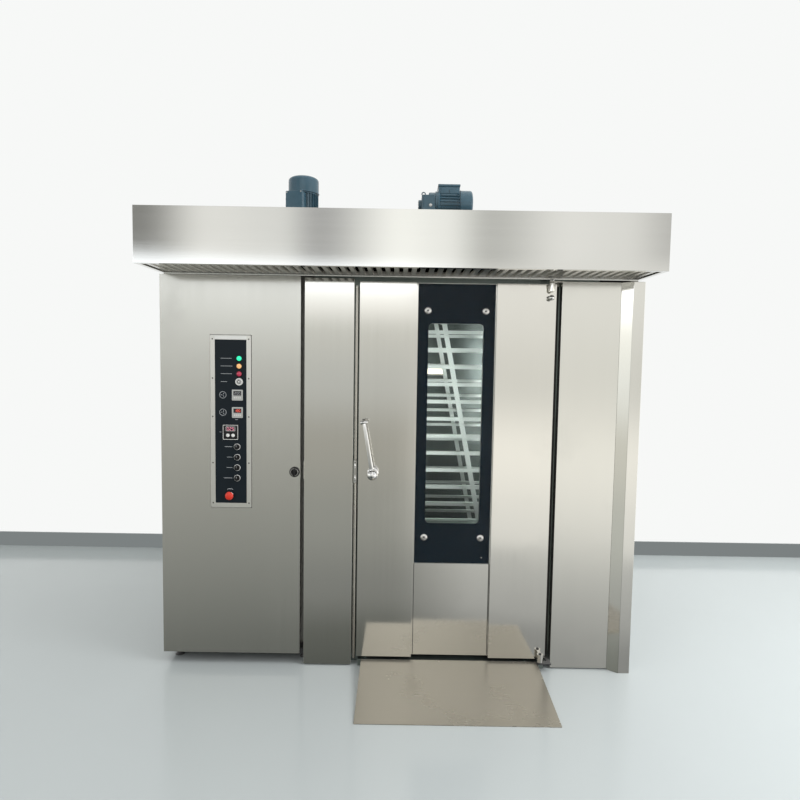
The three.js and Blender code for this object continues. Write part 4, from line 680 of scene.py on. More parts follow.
def dress(node, look):
    # a solid that keeps its own shape and only takes a finish
    slots = nodes[node].data.materials
    slots.clear()
    slots.append(looks[look])


# sheet metal, chamber and rack

softened = {   # node: finish, material slot, edge rounding in mm
    "cabinet_door": ("cabinetSteel", "brushed_steel", 1.3),
    "duct_front_panel": ("panelSteel", "polished_steel", 1.9),
    "right_front_panel": ("sideSteel", "polished_steel", 1.9),
    "corner_wing": ("panelSteel", "polished_steel", 1.4),
    "door_leaf": ("doorSteel", "polished_steel", 3.2),
    "hood_shell": ("hoodSteel", "hood_steel", 1.0),
    "ramp": ("rampSteel", "ramp_steel", 3.0),
    "latch_post": ("shadedPostSteel", "chrome", 0.8),
    "left_side_panel": ("wallSteel", "brushed_steel", 0.9),
    "right_side_panel": ("wallSteel", "brushed_steel", 0.9),
    "rear_panel": ("wallSteel", "brushed_steel", 0.8),
    "roof_panel": ("roofSteel", "brushed_steel", 0.8),
    "door_frame": ("liningSteel", "lining_steel", 2.5),
    "door_liner": ("liningSteel", "lining_steel", 2.5),
    "chamber_floor": ("liningSteel", "lining_steel", 1.5),
    "duct_wall": ("liningSteel", "lining_steel", 0.6),
    "chamber_right_wall": ("liningSteel", "lining_steel", 2.0),
    "chamber_rear_wall": ("liningSteel", "lining_steel", 2.0),
    "chamber_roof": ("liningSteel", "lining_steel", 2.0),
    "duct_housing": ("wallSteel", "lining_steel", 2.0),
    "rack_front_side": ("rackSteel", "brushed_steel", 1.0),
    "rack_rear_side": ("rackSteel", "brushed_steel", 1.0),
    "rack_top": ("rackSteel", "brushed_steel", 2.0),
    "rack_base": ("rackSteel", "brushed_steel", 1.0),
    "rack_hanger": ("rackSteel", "brushed_steel", 1.5),
    "caster_fork_front": ("screwSteel", "brushed_steel", 0.8),
    "caster_fork_rear": ("screwSteel", "brushed_steel", 0.8),
    "impeller": ("rackSteel", "brushed_steel", 0.6),
    "panel_frame": ("aluminium", "aluminium", 0.8),
    "top_hinge_bracket": ("shadedPostSteel", "chrome", 1.0),
    "bottom_hinge_bracket": ("framePaint", "frame_steel", 1.0),
    "drive_stand": ("framePaint", "frame_steel", 1.0),
    "fan_stand": ("framePaint", "frame_steel", 1.0),
    "base_frame": ("framePaint", "frame_steel", 0.8),
    "gearbox": ("castPaint", "cast_paint", 3.0),
    "door_gasket": ("siliconeSeal", "seal", 2.5),
}
for node, (look, slot, width) in softened.items():
    soften(node, look, width)
for node in ("baffle_left", "baffle_middle", "baffle_right"):
    dress(node, "grilleSteel")
dress("electrical_plate", "paleGrey")
print("sheet metal rounded:", len(softened))


# control panel: plate, lamps, buzzer, switches and their marks

plateLow, plateHigh = boxOf("panel_plate")
switches = ["selector_1", "selector_2", "selector_3", "selector_4"]
control = {
    "lensProud": 9.0,        # the lenses stand this far ahead of the plate
    "thickness": 4.0,
    "lampInset": 34.7,       # lamp column, from the plate's right edge
    "lampDrops": (88.7, 125.7, 162.7),   # from the plate's top edge
    "lampColours": ("lampGreen", "lampAmber", "lampRed"),
    "lensRadius": 11.8,
    "bezelRadius": 16.0,
    "buzzerDrop": 200.7,
    "buzzerRadius": 17.5,
    "buzzerSlots": 12,
    "ringRadius": 15.5,
    "collarProud": 6.0,
    "stemRadius": 11.5,
    "canPlay": 3.5,          # an instrument's can is this much smaller than its bezel all round
}
legend = {
    "left": 28.0,            # lamp legends, from the plate's left edge
    "height": 1.6,
    "lampWidths": (52, 56, 54, 30),      # the last one is the buzzer's
    "switchWidths": (36, 26, 28, 42),
    "switchGap": 8,          # from a switch's ring
    "underDisplay": (-9, -12, 2),        # up from its foot, then both ends from its middle
    "besideTimer": (-17, -8),            # both ends, from its left edge
    "circleLeft": 71.0,      # the round outlines, from the middle of the display beside them
    "circleRadii": (16.5, 15.0),
    "arcRadii": (33.0, 31.2),            # over the stop button
    "arcDegrees": (64, 52),  # start and sweep
}
plateFace = plateLow[1] + control["lensProud"]
lampX = plateHigh[0] - control["lampInset"]
printed = (plateFace - 0.25, plateFace - 0.02)   # the paint's front and back


def middleOf(node):
    low, high = boxOf(node)
    return [(first + second) / 2 for first, second in zip(low, high)]


def addControlPlate():
    shape = bmesh.new()
    holes = [cornerLoop(*drawnIn(node, control["canPlay"]), 2.0, 2)
             for node in ("display_upper", "display_lower", "timer")]
    for node in (*switches, "emergency_stop"):
        x, z = middleOf(node)[::2]
        holes.append(circleLoop(x, z, control["stemRadius"]))
    edge = cornerLoop(*drawnIn("panel_plate", 0), 2.0, 3)
    addSheet(shape, edge, holes, (plateFace, plateFace + control["thickness"]))
    finishPiece(shape, "control_plate", "panelNavy", "control_door", ("panel_plate",))


def addLamps():
    outer, inner = control["bezelRadius"], control["lensRadius"]
    bezels = bmesh.new()
    for drop, colour in zip(control["lampDrops"], control["lampColours"]):
        place = (lampX, plateFace, plateHigh[2] - drop)
        addLathe(bezels, [(inner + 0.2, 0), (outer, 0), (outer, 1.4), (outer - 1.4, 3.0), (inner + 1.2, 3.4),
                          (inner + 0.2, 2.6), (inner + 0.2, 0)], place, "y", 48)
        lens = bmesh.new()
        proud = control["lensProud"]
        addLathe(lens, [(0, 0), (inner, 0), (inner, proud * 0.42), (inner * 0.93, proud * 0.66),
                        (inner * 0.74, proud * 0.85), (inner * 0.42, proud * 0.97), (0, proud)], place, "y", 48)
        finishPiece(lens, "lens_" + colour, colour, "control_door", smooth=50)
    finishPiece(bezels, "lamp_bezels", "blackPlastic", "control_door", smooth=50)


def addBuzzer():
    radius, place = control["buzzerRadius"], (lampX, plateFace, plateHigh[2] - control["buzzerDrop"])
    cap = bmesh.new()
    addLathe(cap, [(0, 0), (radius, 0), (radius, 5.0), (radius - 1.0, 7.4), (radius - 2.6, 8.0),
                   (radius - 3.4, 7.0), (3.0, 7.0), (2.4, 7.9), (0, 8.1)], place, "y", 56)
    finishPiece(cap, "buzzer_cap", "switchWhite", "control_door", smooth=40)
    slots, count = bmesh.new(), control["buzzerSlots"]
    for turn in range(count):
        x, z = place[0], place[2]
        bar = addBlock(slots, about(x, 1.3), (plateFace - 7.5, plateFace - 6.9),
                       (z + 4.2, z + radius - 4.6), 0.25, 1)
        turnAbout(slots, bar, math.tau * turn / count, place)
    finishPiece(slots, "buzzer_slots", "blackPlastic", "control_door")


def addSwitchRings():
    rings, collars = bmesh.new(), bmesh.new()
    radius, inner, proud = control["ringRadius"], control["stemRadius"], control["collarProud"]
    for node in (*switches, "emergency_stop"):
        x, z = middleOf(node)[::2]
        place = (x, plateFace, z)
        addLathe(collars, [(inner, 0), (radius - 2.1, 0), (radius - 2.1, proud - 1.6),
                           (radius - 2.8, proud - 0.4), (inner, proud - 0.4), (inner, 0)], place, "y", 40)
        addLathe(rings, [(radius - 2.0, 0), (radius, 0), (radius, 1.6), (radius - 0.7, 2.4),
                         (radius - 2.0, 2.2), (radius - 2.0, 0)], place, "y", 48)
    finishPiece(collars, "switch_collars", "blackPlastic", "control_door", smooth=40)
    finishPiece(rings, "switch_rings", "switchWhite", "control_door", smooth=40)


def addSwitchKnobs():
    knob = {"stem": 10.6, "behind": 24.0, "head": 12.8, "headFrom": 6.4, "headTo": 9.6, "front": 17.8,
            "gripWidth": 6.6, "gripTall": 23.0, "mark": (1.0, 9.5)}
    stem, behind, head, start, end = [knob[part] for part in ("stem", "behind", "head", "headFrom", "headTo")]
    grip, mark = plateFace - knob["front"], knob["mark"]
    for node in switches:
        x, z = middleOf(node)[::2]
        number = node[-2:]
        shape, line = bmesh.new(), bmesh.new()
        addLathe(shape, [(0, -behind), (stem, -behind), (stem, start), (head, start), (head, end - 1.2),
                         (head - 1.0, end), (0, end)], (x, plateFace, z), "y", 40)
        addBlock(shape, about(x, knob["gripWidth"] / 2), (grip, plateFace - end + 0.6),
                 about(z, knob["gripTall"] / 2), 1.6, 3)
        finishPiece(shape, "switch_knob" + number, "blackPlastic", "switch" + number, (node,),
                    smooth=40)
        addBlock(line, about(x, 0.7), (grip - 0.15, grip + 0.3), (z + mark[0], z + mark[1]), 0.1, 1)
        finishPiece(line, "switch_mark" + number, "legendPaint", "switch" + number)


def addStopButton():
    x, z = middleOf("emergency_stop")[::2]
    low, high = boxOf("emergency_stop")
    radius, front, under = (high[0] - low[0]) / 2, plateFace - low[1], 11.4
    shape = bmesh.new()
    addLathe(shape, [(0, -19.5), (10.6, -19.5), (10.6, under), (14.6, under), (radius - 1.0, under + 2.2),
                     (radius, under + 4.6), (radius - 0.6, under + 7.6), (radius - 3.2, front - 2.2),
                     (radius - 8.0, front - 0.6), (0, front)], (x, plateFace, z), "y", 56)
    finishPiece(shape, "stop_mushroom", "stopRed", "stop_button", ("emergency_stop",),
                smooth=50)
    start, sweep = legend["arcDegrees"]
    angles = [math.radians(start + sweep * step / 10) for step in range(11)]
    outer, inner = [[(x + radius * math.cos(angle), z + radius * math.sin(angle)) for angle in angles]
                    for radius in legend["arcRadii"]]
    arc = bmesh.new()
    addSheet(arc, outer + inner[::-1], [], printed)
    finishPiece(arc, "stop_arc", "legendPaint", "control_door")


def addLegends():
    # plain strips where the switches and lamps are marked, and two round outlines beside the instruments
    marks = bmesh.new()
    left, half = plateLow[0] + legend["left"], legend["height"] / 2
    drops = (*control["lampDrops"], control["buzzerDrop"])
    rows = [(plateHigh[2] - drop, left, left + width) for drop, width in zip(drops, legend["lampWidths"])]
    for node, width in zip(switches, legend["switchWidths"]):
        x, z = middleOf(node)[::2]
        end = x - control["ringRadius"] - legend["switchGap"]
        rows.append((z, end - width, end))
    x, (up, start, end) = middleOf("display_lower")[0], legend["underDisplay"]
    rows.append((boxOf("display_lower")[0][2] + up, x + start, x + end))
    x, (start, end) = boxOf("timer")[0][0], legend["besideTimer"]
    rows.append((middleOf("timer")[2], x + start, x + end))
    for z, start, end in rows:
        addBlock(marks, (start, end), printed, about(z, half), 0.08, 1)
    outer, inner = legend["circleRadii"]
    for node in ("display_upper", "display_lower"):
        x, z = middleOf(node)[::2]
        x -= legend["circleLeft"]
        addSheet(marks, circleLoop(x, z, outer, 40), [circleLoop(x, z, inner, 40)], printed)
        for turn in range(3):
            stroke = addBlock(marks, about(x, 0.8), printed, (z + 3.0, z + 11.0), 0.08, 1)
            turnAbout(marks, stroke, math.tau * (turn + 0.25) / 3, (x, plateFace, z))
    finishPiece(marks, "panel_legends", "legendPaint", "control_door")


addControlPlate()
addLamps()
addBuzzer()
addSwitchRings()
addSwitchKnobs()
addStopButton()
addLegends()
print("control panel made")


# the two displays and the timer

segments = {   # lit strokes of each figure
    "0": "abcdef", "1": "bc", "2": "abged", "5": "afgcd", "8": "abcdefg",
}
strokes = {   # position in units of the figure's half width and half height, and whether it lies across
    "a": (0, 1, True), "g": (0, 0, True), "d": (0, -1, True),
    "f": (-1, 0.5, False), "b": (1, 0.5, False), "e": (-1, -0.5, False), "c": (1, -0.5, False),
}
instrument = {
    "sideShare": 0.74,           # window and keys, in parts of the bezel's half width from its middle
    "windowShare": (-0.08, 0.74),
    "keyShare": (-0.70, -0.28),
    "keyCount": 4,
    "keyPitch": 0.36,
    "keyHalf": 0.14,
    "bezel": 2.4,
    "figure": (6.4, 11.0),       # width and height
    "timerProud": 8.0,
    "timerFigure": (8.0, 13.0),
    "timerWindow": (22, 6, 9),   # half width, above the middle, below the top
    "timerFrame": 1.2,
    "dialDrop": 0.40,
    "dialTurn": 0.6,             # radians
}
can = control["canPlay"] + 0.5


def addFigures(shape, text, centre, y, size):
    width, height = size
    pitch, thick = width * 1.55, width * 0.16
    for index, figure in enumerate(text):
        x = centre[0] + (index - (len(text) - 1) / 2) * pitch
        for stroke in segments[figure]:
            across, up, lies = strokes[stroke]
            halfX = width / 2 - thick * 0.6 if lies else thick / 2
            halfZ = thick / 2 if lies else height / 4 - thick * 0.6
            addBlock(shape, about(x + across * width / 2, halfX), y, about(centre[1] + up * height / 2, halfZ),
                     thick * 0.2, 1)


def addInset(shape, node, inset, y, bevel):
    x, z = drawnIn(node, inset)
    addBlock(shape, x, y, z, bevel)


def addDisplay(node, figures, lit):
    low, high = boxOf(node)
    x, z = middleOf(node)[::2]
    front, half = low[1], (high[0] - low[0]) / 2
    windowX = about(x, half * instrument["sideShare"])
    windowZ, keysZ = [[z + half * share for share in instrument[part]] for part in ("windowShare", "keyShare")]
    shape = bmesh.new()
    holes = [cornerLoop(windowX, span, 1.2, 2) for span in (windowZ, keysZ)]
    addSheet(shape, cornerLoop(*drawnIn(node, 0), 3.0), holes, (front, front + instrument["bezel"]))
    roundEdges(shape, 0.5, 60)
    addInset(shape, node, 0.6, (front + 2.3, plateFace - 0.3), 0.5)
    addInset(shape, node, can, (plateFace - 0.4, high[1]), 1.0)
    finishPiece(shape, node + "_case", "greyPlastic", "control_door", (node,), smooth=40)
    screen = bmesh.new()
    addBlock(screen, (windowX[0] + 0.1, windowX[1] - 0.1), (front + 0.9, front + 2.2),
             (windowZ[0] + 0.1, windowZ[1] - 0.1), 0.2, 1)
    finishPiece(screen, node + "_screen", "screenDark", "control_door")
    keys = bmesh.new()
    for index in range(instrument["keyCount"]):
        keyX = x + (index - 1.5) * half * instrument["keyPitch"]
        addBlock(keys, about(keyX, half * instrument["keyHalf"]), (front + 0.5, front + 2.2),
                 (keysZ[0] + 1.6, keysZ[1] - 1.6), 0.6)
    finishPiece(keys, node + "_keys", "paleGrey", "control_door")
    shown = bmesh.new()
    addFigures(shown, figures, (x, (windowZ[0] + windowZ[1]) / 2), (front + 0.7, front + 0.95),
               instrument["figure"])
    finishPiece(shown, node + "_figures", lit, "control_door")


def addTimer():
    low, high = boxOf("timer")
    x, z = middleOf("timer")[::2]
    front, halfX, halfZ = plateFace - instrument["timerProud"], (high[0] - low[0]) / 2, (high[2] - low[2]) / 2
    face = bmesh.new()
    addInset(face, "timer", 0, (front + 0.8, plateFace - 0.3), 1.4)
    addInset(face, "timer", can, (plateFace - 0.4, high[1]), 1.0)
    finishPiece(face, "timer_case", "blackPlastic", "control_door", ("timer",), smooth=40)
    rim = bmesh.new()
    (wide, above, under), edge = instrument["timerWindow"], instrument["timerFrame"]
    addSheet(rim, cornerLoop(*drawnIn("timer", 1.2), 3.0), [cornerLoop(*drawnIn("timer", 3.0), 2.4)],
             (front, front + 1.0))
    addSheet(rim, cornerLoop(about(x, wide), (z + above, z + halfZ - under), 2.0, 3),
             [cornerLoop(about(x, wide - edge), (z + above + edge, z + halfZ - under - edge), 1.6, 3)],
             (front + 0.4, front + 1.0))
    finishPiece(rim, "timer_rim", "switchWhite", "control_door")
    shown = bmesh.new()
    addFigures(shown, "025", (x, z + halfZ / 2 - 1.5), (front + 0.55, front + 0.85), instrument["timerFigure"])
    finishPiece(shown, "timer_figures", "digitPink", "control_door")
    dials, pointers = bmesh.new(), bmesh.new()
    for side in (-1, 1):
        place = (x + side * halfX / 3, front + 0.9, z - halfZ * instrument["dialDrop"])
        addLathe(dials, [(0, 0), (8.3, 0), (8.3, 1.6), (7.5, 2.3), (6.0, 2.3), (5.6, 3.6), (4.8, 3.9),
                         (0, 3.9)], place, "y", 40)
        bar = addBlock(pointers, about(place[0], 0.6), (front - 3.0, front - 2.7),
                       (place[2], place[2] + 4.4), 0.1, 1)
        turnAbout(pointers, bar, side * instrument["dialTurn"], place)
    finishPiece(dials, "timer_dials", "switchWhite", "control_door", smooth=40)
    finishPiece(pointers, "timer_pointers", "blackPlastic", "control_door")


addDisplay("display_upper", "200", "legendPaint")
addDisplay("display_lower", "180", "digitRed")
addTimer()
print("instruments made")


# lock knob, and what belongs to the control panel's frame

def addLockKnob():
    low, high = boxOf("lock_knob")
    x, radius = (low[0] + high[0]) / 2, (high[0] - low[0]) / 2
    z, back = high[2] - radius, boxOf("cabinet_door")[0][1] - 0.3
    depth, stem = back - low[1], high[1] - back
    shape = bmesh.new()
    addLathe(shape, [(0, -stem), (9.8, -stem), (9.8, 0), (radius - 2, 0), (radius, 1.6), (radius, depth * 0.34),
                     (radius - 1.6, depth * 0.48), (radius * 0.78, depth * 0.62), (radius * 0.66, depth * 0.62),
                     (radius * 0.60, depth * 0.50), (0, depth * 0.46)], (x, back, z), "y", 56)
    grip = addBlock(shape, about(x, 4.2), (low[1], back - depth * 0.3), about(z, radius * 0.74), 1.8, 3)
    turnAbout(shape, grip, math.radians(8), (x, back, z))
    addBlock(shape, about(x, 6.8), (high[1] - 3, high[1]), (low[2], z), 0.6)
    finishPiece(shape, "lock_handle", "blackPlastic", "lock", ("lock_knob",), smooth=45)
    ring = bmesh.new()
    addLathe(ring, [(radius * 0.66, 0), (radius * 0.76, 0), (radius * 0.74, 0.8), (radius * 0.68, 0.8),
                    (radius * 0.66, 0)], (x, back - depth * 0.61, z), "y", 48)
    finishPiece(ring, "lock_ring", "chrome", "lock")


panelFrame = {
    "screwInset": 11.0,
    "screwDrops": (19.0, 207.0, 392.0, 617.0, 814.0),   # from the frame's top edge
    "sealOut": 2.0,
    "sealIn": 0.5,
    "paintedHighlightOver": (2, 5),     # the white strip, a painted highlight standing for the ceiling mirrored in the frame's top rim, over the plate and under the frame's edge
}


def addFrameParts():
    low, high = boxOf("panel_frame")
    inset, front, back = panelFrame["screwInset"], low[1], boxOf("cabinet_door")[0][1]
    places = [(x, front + 0.2, high[2] - drop) for x in (high[0] - inset, low[0] + inset)
              for drop in panelFrame["screwDrops"]]
    shape, seal, highlightStrip = bmesh.new(), bmesh.new(), bmesh.new()
    addScrews(shape, places, 3.4, 1.8)
    finishPiece(shape, "frame_screws", "siliconeSeal", "control_door")
    addSheet(seal, cornerLoop(*drawnIn("panel_frame", -panelFrame["sealOut"]), 2.0, 3),
             [cornerLoop(*drawnIn("panel_frame", panelFrame["sealIn"]), 1.0, 3)], (back - 0.9, back - 0.05))
    finishPiece(seal, "frame_seal", "siliconeSeal", "control_door")
    # the white strip on the frame's top rim is painted highlight: it stands for the bright ceiling mirrored in
    # the rim
    over, under = panelFrame["paintedHighlightOver"]
    addBlock(highlightStrip, (plateLow[0] - 1, plateHigh[0] + 1), (front - 0.25, front + 0.3),
             (plateHigh[2] + over, high[2] - under), 0.2, 1)
    finishPiece(highlightStrip, "frame_top_painted_highlight", "switchWhite", "control_door")


addLockKnob()
addFrameParts()


# oven door: glass with its printed border, bolts and handle

door = {
    "frameX": (136.0, 402.0),   # clear window inside the printed border
    "frameZ": (721.0, 1699.0),
    "frameRadius": 20.0,
    "paneThickness": 6.0,
    "boltRadius": 17.0,
    "boltHead": 7.0,
    "boltInset": 48,            # from the glass's sides
    "boltHeights": (651.0, -130),       # the lower pair from the floor, the upper one from the glass's top
    "studInset": (40, 32),      # from the right edge and the foot
    "handleLean": -0.17,        # radians, to the left of upright
    "leverLength": 254.0,
    "leverHalf": 10.5,          # of its width at the hub
    "leverTaper": 2.4,
    "hub": 26.0,
    "spindle": 8.6,
    "tip": (8.0, 36.0),         # radius and length of the bar across the lever's end
}


def addDoorGlass():
    low, high = boxOf("outer_glass")
    back = high[1]
    front = back - door["paneThickness"]
    pane = bmesh.new()
    addSheet(pane, cornerLoop(*drawnIn("outer_glass", 0), 3.0), [], (front, back - 0.5))
    roundEdges(pane, 0.8)
    flatten(finishPiece(pane, "door_glass_pane", "doorGlass", "oven_door", ("outer_glass",)))
    border = bmesh.new()
    addSheet(border, cornerLoop(*drawnIn("outer_glass", 0.8), 2.4),
             [cornerLoop(door["frameX"], door["frameZ"], door["frameRadius"], 8)], (back - 0.42, back - 0.08))
    finishPiece(border, "door_glass_border", "fritBlack", "oven_door")
    bolts, sockets = bmesh.new(), bmesh.new()
    radius, head, inset, heights = door["boltRadius"], door["boltHead"], door["boltInset"], door["boltHeights"]
    places = [(x, front, z) for x in (low[0] + inset, high[0] - inset)
              for z in (heights[0], high[2] + heights[1])]
    for place in places:
        addLathe(bolts, [(0, 0), (radius, 0), (radius, head * 0.4), (radius - 1.2, head * 0.72),
                         (radius - 4, head * 0.96), (7.2, head), (6.6, head - 0.6), (6.6, head * 0.35),
                         (0, head * 0.35)], place, "y", 48)
        addLathe(sockets, [(0, head * 0.36), (5.0, head * 0.36), (5.0, head * 0.62), (4.2, head * 0.75),
                           (0, head * 0.75)], place, "y", 6)
    finishPiece(bolts, "glass_bolts", "boltSteel", "oven_door", smooth=45)
    finishPiece(sockets, "glass_bolt_sockets", "siliconeSeal", "oven_door")
    stud = bmesh.new()
    addScrews(stud, [(high[0] - door["studInset"][0], front, low[2] + door["studInset"][1])], 3.0, 1.2)
    finishPiece(stud, "glass_stud", "boltSteel", "oven_door")


def addLeafSeams():
    # dark joints where the recessed lower sheet meets the folds beside it
    low, high = boxOf("outer_glass")
    seam = {"width": 3.0, "depth": 0.8, "above": 3.0}
    heights = (boxOf("door_leaf")[0][2] + seam["above"], low[2] - 1.0)
    shape = bmesh.new()
    for x in ((low[0], low[0] + seam["width"]), (high[0] - seam["width"], high[0])):
        addBlock(shape, x, (high[1] - seam["depth"], high[1] + 0.2), heights, 0.2, 1)
    finishPiece(shape, "leaf_seams", "siliconeSeal", "oven_door")


def addDoorHandle():
    low, high = boxOf("handle_rose")
    x, z = (low[0] + high[0]) / 2, (low[2] + high[2]) / 2
    radius, doorFace = (high[0] - low[0]) / 2, high[1]
    rose = bmesh.new()
    addLathe(rose, [(0, 0), (radius - 1, 0), (radius, 1.0), (radius, 7.0), (radius - 1.4, 10.0),
                    (radius - 5, 11.7), (radius * 0.6, 12.0), (radius * 0.58, 22.6), (radius * 0.5, 23.6),
                    (10.4, 23.7), (10.0, 22.0), (0, 22.0)], (x, doorFace, z), "y", 64)
    finishPiece(rose, "handle_rose_turned", "chrome", "oven_door", ("handle_rose",), smooth=45)
    grip = bmesh.new()
    hub, stem, length = door["hub"], door["spindle"], door["leverLength"]
    hubY = boxOf("door_handle")[0][1] + hub
    behind = doorFace - hubY - 24.3
    ball = [point for point in ballProfile(hub, 24) if point[0] > stem]
    addLathe(grip, [(0, -behind), (stem, -behind), (stem, -hub * 0.96), *ball, (0, hub)],
             (x, hubY, z), "y", 64)
    bar = addBlock(grip, about(x, 1), about(hubY, 4.5), (z + 4, z + length))
    for vert in bar:   # the lever narrows towards its end
        half = door["leverHalf"] - door["leverTaper"] * (vert.co.z - z) / length
        vert.co.x = x + half * (1 if vert.co.x > x else -1)
    bar = bevelled(grip, bar, 3.4, 4)
    radius, across = door["tip"]
    tip = addRod(grip, radius, (x - across / 2, hubY, z + length), across, "x", 28, 3.0)
    cap = addLathe(grip, [(0, -4), (10.5, -4), (11.4, 0), (10.5, 6), (9.0, 8), (0, 8)],
                   (x, hubY, z + 20), "z", 32)
    turnAbout(grip, list({*bar, *tip, *cap}), door["handleLean"], (x, hubY, z))
    finishPiece(grip, "handle_lever", "chrome", "handle", ("door_handle",), smooth=50)


addDoorGlass()
addLeafSeams()
dress("inner_glass", "innerGlass")
addDoorHandle()
print("door fittings made")


# casters of the tray rack

def addWheels():
    for node in ("wheel_swivel_front", "wheel_swivel_rear", "wheel_fixed_front", "wheel_fixed_rear"):
        low, high = boxOf(node)
        place, body = middleOf(node), nodes[node]["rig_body"]
        radius, half = (high[2] - low[2]) / 2, (high[1] - low[1]) / 2
        tyre, hub = bmesh.new(), bmesh.new()
        addLathe(tyre, closedProfile([(radius - 12, -half + 1.5), (radius - 4, -half + 1.0),
                                      (radius - 1.2, -half + 3.4), (radius, -half + 8)]), place, "y", 64)
        finishPiece(tyre, node + "_tyre", "wheelRubber", body, (node,), smooth=45)
        addLathe(hub, closedProfile([(6.4, -half), (15, -half), (16, -half + 1.5), (17, -half + 5),
                                     (30, -half + 6), (radius - 12.2, -half + 2.6)]), place, "y", 48)
        finishPiece(hub, node + "_hub", "paleGrey", body, smooth=40)


addWheels()
print("wheels made")


# drives on the roof

drive = {
    "fanRadius": 78.0,
    "fanCowlRadius": 90.5,
    "fanCowl": 98.0,
    "flangeRadius": 100.0,
    "flange": 14.0,
    "flangeBolts": 6,
    "shaftHole": 14.5,
    "shaftDepth": 6.4,
    "boxTurn": -1.85,        # radians about the fan motor's axis
    "boxFoot": 60.0,
    "boxBelow": 12,          # from its top to the cowl
    "boxReach": 46,          # ahead of the barrel
    "boxHalf": 48,
    "gearRadius": 70.0,
    "gearCowlRadius": 82.0,
    "gearCowl": 76.0,
    "gearBoxX": (4, 129),    # terminal box, from the motor's flange
    "gearBoxHalf": 54,
    "lidOver": 4,
    "finReach": 9.0,
    "finThickness": 2.6,
    "finTaper": 0.62,
    "fanFins": 30,
    "gearFins": 26,
    "coverBolts": (8, 62, 5.0),          # count, circle and size
    "bearingBolts": (6, 25, 3.2),
}


def addMotorFrame(shape, radius, length, count):
    # an upright finned barrel with its two end shields, from the origin
    addLathe(shape, [(0, 0), (radius + 5, 0), (radius + 7, 2), (radius + 7, 10), (radius + 5, 12),
                     (radius + 0.5, 15), (radius, 17), (radius, length - 9), (radius + 0.5, length - 8),
                     (radius + 5, length - 6), (radius + 5, length), (0, length)], (0, 0, 0), "z", 72)
    half = drive["finThickness"] / 2
    for index in range(count):
        fin = addBlock(shape, (radius - 1, radius + drive["finReach"]), (-half, half), (14, length - 7))
        for vert in fin:
            if vert.co.x > radius:
                vert.co.y *= drive["finTaper"]
        turnAbout(shape, fin, math.tau * (index + 0.5) / count, (0, 0, 0), "Z")


def addCowl(shape, radius, base, height, dome):
    # the fan cover: a rim bead, a domed crown and ring slots in its top
    top, shoulder = base + height, base + height - dome
    profile = [(0, base), (radius - 1.2, base), (radius, base + 1.2), (radius, base + 5.4),
               (radius - 1.6, base + 6.6), (radius - 1.6, shoulder - 2), (radius - 2.4, shoulder + dome * 0.22),
               (radius * 0.93, shoulder + dome * 0.5), (radius * 0.85, shoulder + dome * 0.72),
               (radius * 0.76, shoulder + dome * 0.86)]
    for ring in (0.68, 0.56, 0.44, 0.32):
        outer, inner = radius * ring, radius * (ring - 0.045)
        profile += [(outer, top - 1.2), (outer, top - 4.6), (inner, top - 4.6), (inner, top - 0.8)]
    profile += [(radius * 0.16, top), (0, top)]
    addLathe(shape, profile, (0, 0, 0), "z", 72)
    for turn in range(4):
        addLathe(shape, [(0, 0), (3.4, 0), (3.2, 1.2), (1.6, 1.9), (0, 1.6)],
                 (radius - 0.2, 0, base + 3.2), "x", 14)
        turnAbout(shape, shape.verts, math.tau / 4, (0, 0, 0), "Z")


def addHexBolts(shape, places, radius, head, axis="z"):
    # a washer and a six-sided head
    washer = head * 0.14
    for place in places:
        addLathe(shape, [(0, 0), (radius * 1.35, 0), (radius * 1.35, washer), (0, washer)], place, axis, 24)
        addLathe(shape, [(0, washer), (radius, washer), (radius, head * 0.88), (radius * 0.88, head),
                         (0, head)], place, axis, 6)


def addGland(shape, radius, place, axis):
    # a cable gland, blanked off
    addLathe(shape, [(0, 0), (radius, 0), (radius, radius * 0.5), (0, radius * 0.5)], place, axis, 6)
    addLathe(shape, [(0, radius * 0.4), (radius * 0.84, radius * 0.4), (radius * 0.84, radius * 1.0),
                     (radius * 0.72, radius * 1.7), (radius * 0.5, radius * 2.1), (0, radius * 2.1)],
             place, axis, 24)


